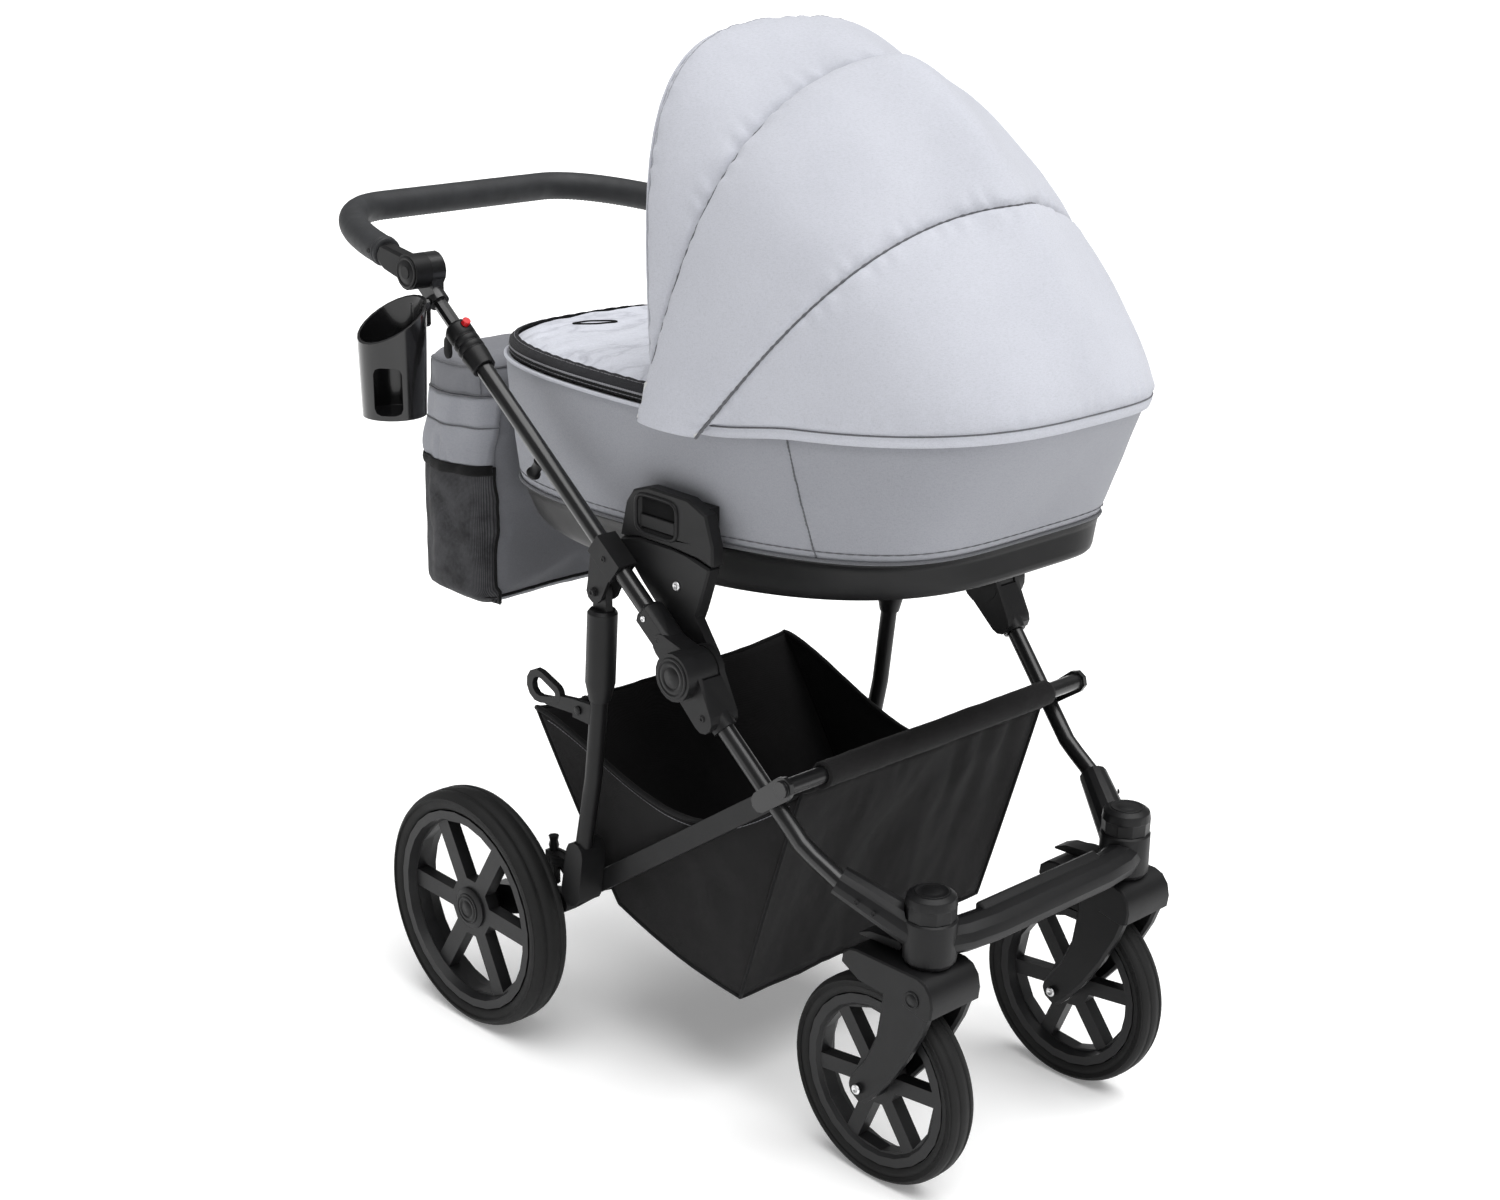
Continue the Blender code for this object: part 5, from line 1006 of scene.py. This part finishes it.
def bag_pocket(body, side, sign):
    """Bottle pocket on the bag's end: a net that bulges, its black hem and the gathered cloth above."""
    middle = (BAG_X[0] + BAG_X[1]) / 2
    half_width = 0.0640
    across = 37

    def on_end(places):
        """Places (x, z) moved straight in to the bag's end."""
        return seen_from(body, [Vector((x, sign * 0.12, z)) for x, z in places], (0, -sign, 0))

    def lifted(points, lift):
        return [p + Vector((0, sign * lift, 0)) for p in points]

    def sheet_rows(z_low, z_high, steps, lift):
        us = [-1 + 2 * i / (across - 1) for i in range(across)]
        rows = []
        for k in range(steps + 1):
            t = k / steps
            z = z_low + (z_high - z_low) * t
            spots = on_end([(middle + half_width * u, z) for u in us])
            rows.append([spot + Vector((0, sign * lift(u, t, z), 0)) for u, spot in zip(us, spots)])
        return rows

    def net_lift(u, t, z):
        side_edge = 1 - abs(u) ** 5
        bulge = 0.0095 * side_edge * (0.35 + 0.65 * sin(pi * min(1.0, 0.12 + t * 0.88)) ** 0.7)
        return 0.0012 + bulge * smoothstep(0.0, 0.10, t) + 0.0016 * side_edge * ruffle((u, t, z), 4.5, 9.0)

    def cuff_lift(u, t, z):
        gather = 0.0017 * sin(u * 17 + 2.0 * sin(u * 6))
        gather *= (1 - smoothstep(0.2, 1.0, t)) * smoothstep(0, 0.12, t)
        return 0.0026 + 0.0062 * (1 - abs(u) ** 5) * sin(pi * (0.16 + 0.84 * t)) + gather

    def band_lift(u, t, z):
        return 0.0016 + 0.0010 * sin(pi * t) + 0.0004 * ruffle((u, t, z), 5, 3.0)

    def hem_lift(u, t, z):
        return net_lift(u, 1.0, z) + 0.0030 + 0.0018 * sin(pi * t)

    # The cuff and band use the grey cloth darkened as painted shade.
    pieces = (("net", 0.4730, 0.6520, 26, net_lift, NET, "black_fabric", (0.186, 0.174), 0.0315),
              ("net_hem", 0.6440, 0.6570, 6, hem_lift, BLACK_TAPE, "black_fabric", (0.174, 0.0140), 0.0023),
              ("cuff", 0.6560, 0.7030, 16, cuff_lift, SHADED_CLOTH, "fabric", (0.190, 0.049), 0.0090),
              ("band", 0.7030, 0.7420, 6, band_lift, SHADED_CLOTH, "fabric", (0.190, 0.040), 0.0073))
    for name, z_low, z_high, steps, lift, material, slot, flat, area in pieces:
        obj = skin(f"bag_{name}_{side}", sheet_rows(z_low, z_high, steps, lift), [material])
        thickened(obj, 0.0014, 0.0)
        ride(obj)
    for name, z, lift in (("cuff_seam", 0.7030, 0.0030), ("band_hem", 0.7420, 0.0028)):
        line = lifted(on_end([(middle + half_width * u / 20, z) for u in range(-20, 21)]), lift)
        ride(cord_tube(f"bag_{name}_{side}", line, 0.0009, CLOTH_DARK, sides=6))
    for end, edge in (("far", -1), ("near", 1)):
        line = lifted(on_end([(middle + edge * 0.0635, 0.475 + 0.179 * k / 24) for k in range(25)]), 0.0012)
        ride(cord_tube(f"bag_net_edge_{side}_{end}", line, 0.0022, BLACK_TAPE))


def bag_front_pocket(body):
    """Flat zipped pocket on the side away from the carrycot."""
    rows = []
    for k in range(19):
        t = k / 18
        z = 0.512 + 0.176 * t
        us = [-1 + i / 18 for i in range(37)]
        spots = seen_from(body, [Vector((-0.2, u * 0.115, z)) for u in us], (1, 0, 0))
        row = []
        for u, spot in zip(us, spots):
            edge = min(1.0, (1 - abs(u)) / 0.10, t / 0.08, (1 - t) / 0.08)
            lift = 0.0050 * sin(pi / 2 * max(0.0, edge)) + 0.0010 * ruffle((u, t, 0), 6, 3.0)
            row.append(spot - Vector((lift + 0.0004, 0, 0)))
        rows.append(row)
    # The pocket uses the grey cloth darkened as painted shade.
    pocket = skin("bag_front_pocket", rows, [BAG_SHADED_CLOTH])
    thickened(pocket, 0.002)
    ride(pocket)
    line = seen_from(body, [Vector((-0.2, -0.104 + 0.208 * i / 80, 0.664)) for i in range(81)], (1, 0, 0))
    line = [p - Vector((0.0058, 0, 0)) for p in line]
    ride(cord_tube("bag_zip", line, 0.0022, BLACK_TAPE, twist=notched(2, 0.75)))


# Basket

BASKET_REAR_TOP = (0.047, 0.408)
BASKET_FRONT_TOP = (0.489, 0.436)
BASKET_FRONT_LOW = (0.400, 0.156)
BASKET_REAR_LOW = (0.190, 0.198)


def basket_half_y(x):
    return 0.2078 - 0.11 * max(0.0, x - 0.400)


def basket_side_point(u, v, sign):
    """Point of a basket side: u from the rear to the front, v from the floor to the top edge."""
    sag_depth = 0.074 if sign < 0 else 0.094
    top_x = BASKET_REAR_TOP[0] + (BASKET_FRONT_TOP[0] - BASKET_REAR_TOP[0]) * u
    top_z = BASKET_REAR_TOP[1] + (BASKET_FRONT_TOP[1] - BASKET_REAR_TOP[1]) * u
    top_z -= sag_depth * sin(pi * u ** 1.35)
    low_x = BASKET_REAR_LOW[0] + (BASKET_FRONT_LOW[0] - BASKET_REAR_LOW[0]) * u
    low_z = BASKET_REAR_LOW[1] + (BASKET_FRONT_LOW[1] - BASKET_REAR_LOW[1]) * u - 0.008 * sin(pi * u)
    x = low_x + (top_x - low_x) * v
    z = low_z + (top_z - low_z) * v
    y = basket_half_y(x) - 0.006 * (1 - v) ** 2
    belly = 0.0060 * sin(pi * v) * sin(pi * u)
    folds = 0.0030 * ruffle((x * 1.4 + z * 0.6, sign, z * 0.8), 11, 3.0)
    folds += 0.0016 * ruffle((x * 0.6 - z * 0.5, sign, z * 1.2), 30, 5.0)
    folds += 0.0020 * sin(26 * u + 9 * v) * smoothstep(0.55, 1.0, v) * smoothstep(0.45, 0.95, u)
    folds *= sin(pi * min(1.0, 0.02 + v * 0.96)) ** 0.4 * (sin(pi * u) ** 0.3 if 0 < u < 1 else 0)
    return Vector((x, sign * (y - belly - abs(folds)), z))


def basket_end_point(w, v, front):
    """Point of the front or rear panel: w from -1 to 1 across, v from the floor to the top."""
    u = 1.0 if front else 0.0
    right = basket_side_point(u, v, -1)
    half = abs(right.y)
    point = Vector((right.x, w * half, right.z))
    inside = (1 - w * w) ** 0.5 if abs(w) < 1 else 0.0
    if front:
        gather = smoothstep(-0.1, 0.95, w)
        ridge = sin(w * 27 + 2.6 * v + 0.8 * sin(7 * v)) * 0.0052 * gather * smoothstep(0.10, 0.95, v)
        slack = sin(w * 11 - 2.0 * v) * 0.0030 * (1 - gather) * sin(pi * v)
        point.x += (-0.014 * sin(pi * v) + ridge + slack) * inside
        point.x += (0.005 * ruffle((0, w, v), 3.2, 2.0) + 0.002 * ruffle((0, w * 1.5, v), 8, 7.0)) * inside
        point.z -= 0.004 * inside * v
    else:
        point.x += (0.008 * sin(pi * v) + 0.006 * ruffle((1, w, v), 3.0, 4.0)) * inside
        point.z -= 0.010 * inside * v
    return point


def basket():
    """Cloth tub of sides, ends and floor in one sheet, with its bindings and seams."""
    levels = 22
    across = 72
    along = 48
    rows = []
    for k in range(levels + 1):
        v = k / levels
        row = [basket_side_point(i / along, v, -1) for i in range(along)]
        row += [basket_end_point(-1 + 2 * i / across, v, True) for i in range(across)]
        row += [basket_side_point(1 - i / along, v, 1) for i in range(along)]
        row += [basket_end_point(1 - 2 * i / across, v, False) for i in range(across)]
        rows.append(row)
    floor_row = rows[0]
    centre = sum(floor_row, Vector()) / len(floor_row)
    inner = []
    for factor in (0.0, 0.3, 0.6, 0.85):
        sunk = Vector((0, 0, -0.004 * (1 - factor)))
        inner.append([centre.lerp(p, max(factor, 0.001)) + sunk for p in floor_row])
    tub = skin("basket_cloth", inner + rows, [BLACK_CLOTH], True, caps=(True, False))
    thickened(tub, 0.0022)
    faced_outwards(tub, max(tub.data.polygons, key=lambda f: f.center.z), centre + ORIGIN)
    ride(tub, "links")
    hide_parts("basket")

    def sewn(name, points, radius, material=BLACK_TAPE, **shape):
        ride(cord_tube(name, points, radius, material, **shape), "links")

    rim = resampled(rows[-1], 320, True)
    sewn("basket_rim_binding", rim, 0.0032, closed=True, twist=lambda i: 1.0 + 0.12 * ruffle(rim[i], 60, 1.0))
    corners = (("front_left", 1, 1), ("front_right", 1, -1), ("rear_left", 0, 1), ("rear_right", 0, -1))
    for name, u, sign in corners:
        sewn(f"basket_seam_{name}", [basket_side_point(u, k / 20, sign) for k in range(21)], 0.0022)
    for side, sign in SIDES:
        sewn(f"basket_floor_seam_{side}", [basket_side_point(k / 24, 0.0, sign) for k in range(25)], 0.0022)
        line = [basket_side_point(k / 160, 0.955, sign) + Vector((0, sign * 0.0003, 0))
                for k in range(5, 156)]
        sewn(f"basket_stitch_{side}", resampled(line, 240), 0.0006, ZIP_TEETH, sides=5, twist=notched(3, 0.3))
    for name, front in (("front", True), ("rear", False)):
        line = [basket_end_point(-1 + k / 20, 0.0, front) for k in range(41)]
        sewn(f"basket_floor_seam_{name}", line, 0.0020)
    basket_sleeve()


def basket_sleeve():
    """Hem of the front panel, wrapped round the bar and gathered a little."""
    bar = Vector((0.506, 0, 0.457))
    angles = circle(28)
    low = radians(232)
    rows = []
    for i in range(121):
        y = -0.186 + 0.372 * i / 120
        ring = []
        for a in angles:
            r = 0.0142 + 0.0006 * ruffle((cos(a), y * 30, sin(a)), 1.6, 4.0)
            r += 0.0006 * sin(y * 420 + 3 * a) * smoothstep(0.2, 1.0, cos(a - low))
            droop = 0.009 * smoothstep(0.25, 1.0, max(0.0, cos(a - low)))
            ring.append(bar + Vector((r * cos(a) + droop * cos(low), y, r * sin(a) + droop * sin(low))))
        rows.append(ring)
    bore = 0.0100
    inner = [[bar + Vector((bore * cos(a), row[0].y, bore * sin(a))) for a in angles]
             for row in reversed(rows)]
    sleeve = skin("basket_bar_sleeve", rows + inner + rows[:1], [BLACK_CLOTH], True)
    ride(sleeve, "front_frame")


# Handle grip, tyres and small hardware

def handle_path():
    """Right arm, wide curve and left arm of the U-shaped handle."""
    length, width = 0.2482, 0.1265
    steps = 24
    half = []
    for i in range(steps + 1):
        a = radians(11 + 79 * i / steps)
        half.append(Vector((-0.3527 + length * (1 - sin(a)), -0.2545 + width * (1 - cos(a)),
                            0.9254 + 0.0280 * sin(a))))
    return half + [Vector((p.x, -p.y, p.z)) for p in reversed(half)]


def grip():
    """Foam cover along the handle, its seam, and an end ring and a rivet on each arm."""
    fine = resampled(handle_path(), 600)
    bare = int(0.018 / (fine[1] - fine[0]).length)
    count = 170
    covered = resampled(fine[bare:len(fine) - bare], count)
    first = (covered[1] - covered[0]).normalized()
    last = (covered[-2] - covered[-1]).normalized()
    ends = {0: 0.86, 1: 0.95, count - 2: 0.95, count - 1: 0.86}
    cover = cord_tube("grip_cover", covered, 0.0180, GRIP, sides=28,
                      twist=lambda i: ends.get(i, 1.0) + 0.008 * ruffle(covered[i], 60, 2.0))
    ride(cover, "handle")
    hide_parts("handle_grip")
    seam = []
    for point, (side, other) in zip(covered, frames(covered)):
        direction = Vector((0.20 - point.x, 0, 0)).normalized() * 0.35 + Vector((0, 0, -1))
        along = Vector(side).cross(other)
        seam.append(point + (direction - along * direction.dot(along)).normalized() * 0.0179)
    seam = resampled(seam[2:-2], 420)
    ride(cord_tube("grip_seam", seam, 0.0007, BLACK_TAPE, sides=6, twist=notched(3, 0.3)), "handle")
    ring = [(0.0130, -0.004), (0.0165, -0.004), (0.0176, -0.003), (0.0176, 0.001), (0.0166, 0.0016),
            (0.0178, 0.0022), (0.0184, 0.0030), (0.0184, 0.0050), (0.0160, 0.0056), (0.0130, 0.0056)]
    rivet = [(0.0034, 0), (0.0034, 0.0012), (0.0026, 0.0020), (0.0010, 0.0014), (0.0, 0.0014)]
    for name, point, direction, sign in (("right", covered[0], first, -1), ("left", covered[-1], last, 1)):
        ride(turned(f"grip_end_{name}", ring, point, direction, GRIP), "handle")
        spot = point + direction * 0.0120 + Vector((0, sign * 0.0172, 0))
        ride(turned(f"grip_rivet_{name}", rivet, spot, (0, sign, 0), PLASTIC, 20), "handle")


def tyre(name, centre, radius, inner, width, body, node, groove):
    """Tyre with a raised line on its side and a groove on each side of its tread."""
    half = width / 2
    shoulder = radius - 0.012
    profile = [(inner + 0.0004, half * 0.80), (inner + 0.006, half * 0.93), (inner + 0.013, half * 0.955),
               (inner + 0.0145, half * 0.985), (inner + 0.016, half * 0.962), (shoulder, half),
               (shoulder + 0.0045, half * 0.965), (shoulder + 0.0080, half * 0.86),
               (radius - 0.0016, half * 0.68), (radius - 0.0004, half * groove + 0.0013),
               (radius - 0.0018, half * groove + 0.0009), (radius - 0.0018, half * groove - 0.0009),
               (radius - 0.0004, half * groove - 0.0013), (radius, 0.0)]
    ring = profile + [(r, -h) for r, h in reversed(profile[:-1])]
    turn = Vector((0, 0, 1)).rotation_difference(Vector((0, 1, 0))).to_matrix()
    rows = [[turn @ Vector((r * cos(a), r * sin(a), h)) + Vector(centre) for r, h in ring]
            for a in circle(96)]
    obj = skin(name, rows + rows[:1], [TYRE], True)
    ride(obj, body)
    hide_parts(node)


def screw_head(name, centre, axis, radius, body, material=None, height=0.0022):
    """Domed head with a hollow in its middle."""
    profile = [(radius, 0.0), (radius, height * 0.5), (radius * 0.86, height * 0.9), (radius * 0.52, height),
               (radius * 0.48, height * 0.35), (0.0, height * 0.35)]
    ride(turned(name, profile, centre, axis, material or STEEL, 24), body)


def ring_disc(name, centre, axis, radius, body, rings=2):
    """Thin cap with concentric grooves."""
    profile = [(radius, 0.0), (radius, 0.0010), (radius - 0.0008, 0.0016)]
    step = (radius - 0.002) / (rings + 1)
    for k in range(rings):
        r = radius - 0.0012 - step * (k + 0.35)
        profile += [(r + 0.0012, 0.0016), (r + 0.0006, 0.0007), (r - 0.0006, 0.0007), (r - 0.0012, 0.0016)]
    profile.append((0.0, 0.0017))
    ride(turned(name, profile, centre, axis, PLASTIC, 40), body)


def transport_peg(side, sign):
    """Flanged cap of the peg under the side tube."""
    along, under = Vector((-0.790155, 0, 0.612907)), Vector((-0.612907, 0, -0.790155))
    foot = Vector((0.3605, sign * FRAME_Y, 0.5429)) + along * 0.318
    profile = ((0.0070, 0.0095), (0.0078, 0.0110), (0.0062, 0.0125), (0.0060, 0.0285), (0.0082, 0.0290),
               (0.0086, 0.0320), (0.0076, 0.0335), (0.0010, 0.0338))
    ride(turned(f"peg_cap_{side}", profile, foot, under, PLASTIC, 28), "upper_frame")


def catch_face(side, sign):
    """Rounded lip round the catch's finger recess, and a near-black plate behind its button: painted shade in
    the recess.
    """
    face_y, floor_y = 0.2215, 0.2171
    middle_x, middle_z = 0.280, 0.6995
    half_x, half_z, corner = 0.0335, 0.0220, 0.42
    lip = [Vector((middle_x + half_x * bent(cos(a), corner), sign * face_y,
                   middle_z + half_z * bent(sin(a), corner))) for a in circle(64)]
    ride(cord_tube(f"catch_lip_{side}", resampled(lip, 96, True), 0.0024, PLASTIC, True, up=(0, 1, 0)))
    # The plate's near-black colour is painted shade in the recess.
    rings = ((0.985, floor_y), (0.985, floor_y - 0.0001), (0.20, floor_y - 0.0001))
    shade_plate = [[Vector((middle_x + (p.x - middle_x) * s, sign * y, middle_z + (p.z - middle_z) * s))
             for p in lip] for s, y in rings]
    ride(skin(f"catch_recess_shade_{side}", shade_plate, [RECESS_SHADE], True, caps=(False, True)))


def arm_rivets(side, sign):
    """Two small rivets on the caster arm's outer face."""
    end = Vector((0.576, sign * (FRAME_Y - 0.0297), 0.3535))
    housing = Vector((CASTER_X, sign * CASTER_Y, 0.3090))
    along = (housing - end).normalized()
    outward = Vector((-along.y, along.x, 0)) * sign
    outward = (outward - along * outward.dot(along)).normalized()
    for k, (distance, radius) in enumerate(((0.010, 0.0172), (0.031, 0.0194))):
        spot = end + along * distance + outward * radius
        screw_head(f"arm_rivet_{side}_{k}", spot, outward, 0.0030, "front_frame", PLASTIC, 0.0012)


def hardware():
    """Tyres, caps, bolts, pegs and catches on both sides."""
    slope = Vector((-0.790, 0, 0.613))
    start = Vector((0.3605, 0, 0.5429))
    bolts = (("upper_socket_bolt_a", 0.083, 0.0139, STEEL), ("upper_socket_bolt_b", 0.052, 0.0139, PLASTIC),
             ("bracket_bolt", 0.168, 0.0134, PLASTIC))
    knob_profile = [(0.0188, 0.0), (0.0188, 0.0006), (0.0176, 0.0010), (0.0166, 0.0003), (0.0110, 0.0003),
                    (0.0100, 0.0010), (0.0, 0.0010)]
    for side, sign in SIDES:
        out = (0, sign, 0)
        fork = f"fork_{side}"
        rear_wheel = f"rear_wheel_{side}"
        tyre(f"tyre_rear_{side}", (0, sign * REAR_WHEEL_Y, REAR_AXLE_Z), 0.1500, 0.1268, 0.050, rear_wheel,
             f"rear_tyre_{side}", 0.42)
        tyre(f"tyre_front_{side}", (FRONT_AXLE[0], sign * CASTER_Y, FRONT_AXLE[1]), 0.1207, 0.0998, 0.037,
             f"front_wheel_{side}", f"front_tyre_{side}", 0.40)
        ring_disc(f"hub_cap_{side}", (0, sign * (REAR_WHEEL_Y + 0.0157), REAR_AXLE_Z), out, 0.0195,
                  rear_wheel)
        for end, outer in (("outer", 1), ("inner", -1)):
            y = sign * CASTER_Y + outer * (0.0245 + 0.0135 + 0.0040)
            screw_head(f"front_axle_bolt_{side}_{end}", (FRONT_AXLE[0], y, FRONT_AXLE[1]), (0, outer, 0),
                       0.0058, fork)
        ring_disc(f"fork_cap_{side}", (0.660, sign * (CASTER_Y + 0.0388), 0.256), out, 0.0095, fork, 1)
        ring_disc(f"fold_cap_{side}", (0.366, sign * 0.2750, 0.550), out, 0.0225, "front_frame")
        screw_head(f"lower_socket_bolt_{side}", (0.3995, sign * 0.2619, 0.5095), out, 0.0038, "front_frame",
                   PLASTIC, 0.0016)
        for name, along, outer, material in bolts:
            spot = start + slope * along
            screw_head(f"{name}_{side}", (spot.x, sign * (FRAME_Y + outer), spot.z), out, 0.0035,
                       "upper_frame", material, 0.0014)
        screw_head(f"leg_pivot_bolt_{side}", (0.211, sign * (FRAME_Y + 0.0162), 0.604), out, 0.0042,
                   "upper_frame", PLASTIC, 0.0014)
        screw_head(f"adaptor_bolt_{side}", (0.314, sign * 0.2220, 0.629), out, 0.0055, "front_frame")
        ring_disc(f"handle_joint_cap_{side}", (-0.101, sign * 0.2700, 0.920), out, 0.0185, "handle", 1)
        knob_top = (CASTER_X, sign * CASTER_Y, 0.3639)
        ride(turned(f"knob_disc_{side}", knob_profile, knob_top, (0, 0, 1), PLASTIC, 40), f"knob_{side}")
        arm_rivets(side, sign)
        catch_face(side, sign)
        transport_peg(side, sign)
    bolt = [(0.0052, 0), (0.0052, 0.0012), (0.0040, 0.0020), (0.0, 0.0020)]
    ride(turned("ring_lever_bolt", bolt, (0.1765, -FRAME_Y - 0.0107, 0.4520), (0, -1, 0), PLASTIC, 24),
         "rear_legs")


# Camera, floor and light

def photo_camera():
    """Camera at the photograph's place and angle; the photograph is 1500 pixels wide."""
    azimuth, elevation, roll = radians(46.2889), radians(18.4246), radians(0.6211)
    focal_pixels, photo_width, sensor_width = 2325.211, 1500, 36.0
    back = Vector((sin(azimuth) * cos(elevation), -cos(azimuth) * cos(elevation), sin(elevation)))
    right = (-back).cross(Vector((0, 0, 1))).normalized()
    up = right.cross(-back)
    rolled_right = right * cos(roll) + up * sin(roll)
    rolled_up = -right * sin(roll) + up * cos(roll)
    data = bpy.data.cameras.new("photo_camera")
    data.sensor_width = sensor_width
    data.lens = focal_pixels / photo_width * sensor_width
    data.clip_end = 120.0
    camera = bpy.data.objects.new("photo_camera", data)
    bpy.context.scene.collection.objects.link(camera)
    turn = Matrix((rolled_right, rolled_up, back)).transposed().to_4x4()
    camera.matrix_world = Matrix.Translation(place(2.1060, -1.82452, 1.41455)) @ turn
    bpy.context.scene.camera = camera


def pale_floor():
    """Wide plain floor; a slight glow of its own keeps the shadow pale."""
    size, level, glow = 45.0, -0.0006, 0.18
    mesh = bpy.data.meshes.new("floor")
    mesh.from_pydata([(x, y, level) for x, y in ((-size, -size), (size, -size), (size, size), (-size, size))],
                     [], [(0, 1, 2, 3)])
    floor = bpy.data.objects.new("floor", mesh)
    g = Graph("pale_floor", 0.95)
    g.colour(g.ramp(g.noise(2, 2), ((0.3, (0.90, 0.90, 0.90)), (0.7, (0.92, 0.92, 0.92)))))
    g.shader.inputs["Emission Color"].default_value = (1.0, 1.0, 1.0, 1.0)
    g.shader.inputs["Emission Strength"].default_value = glow
    mesh.materials.append(g.done())
    bpy.context.scene.collection.objects.link(floor)


def studio_light():
    """White surroundings, a broad soft light from above and two weak lamps at the sides."""
    world = bpy.data.worlds.new("studio_light")
    world.use_nodes = True
    background = world.node_tree.nodes["Background"]
    background.inputs["Color"].default_value = (1.0, 1.0, 1.0, 1.0)
    background.inputs["Strength"].default_value = 0.27
    bpy.context.scene.world = world
    bpy.context.scene.view_settings.view_transform = "Standard"
    sky = bpy.data.lights.new("soft_top", "SUN")
    sky.energy = 4.15
    sky.angle = radians(66)
    lamp = bpy.data.objects.new("soft_top", sky)
    lamp.rotation_euler = Vector((-0.24, -0.04, -1.0)).to_track_quat("-Z", "Y").to_euler()
    bpy.context.scene.collection.objects.link(lamp)
    lamps = (("fill", (3.4, -1.0, 2.0), 14, 1.8), ("edge", (-2.4, -2.2, 2.2), 6, 1.6))
    for name, where, power, size in lamps:
        light = bpy.data.lights.new(name, "AREA")
        light.energy = power
        light.size = size
        lamp = bpy.data.objects.new(name, light)
        lamp.location = place(*where)
        aim = place(0.2, 0.0, 0.6) - lamp.location
        lamp.rotation_euler = aim.to_track_quat("-Z", "Y").to_euler()
        bpy.context.scene.collection.objects.link(lamp)


def build():
    dress_cad_nodes()
    cot_body()
    cot_tray()
    cot_trim()
    cot_mattress()
    apron()
    hood()
    bag()
    basket()
    grip()
    hardware()
    photo_camera()
    pale_floor()
    studio_light()
    bpy.context.view_layer.update()


build()
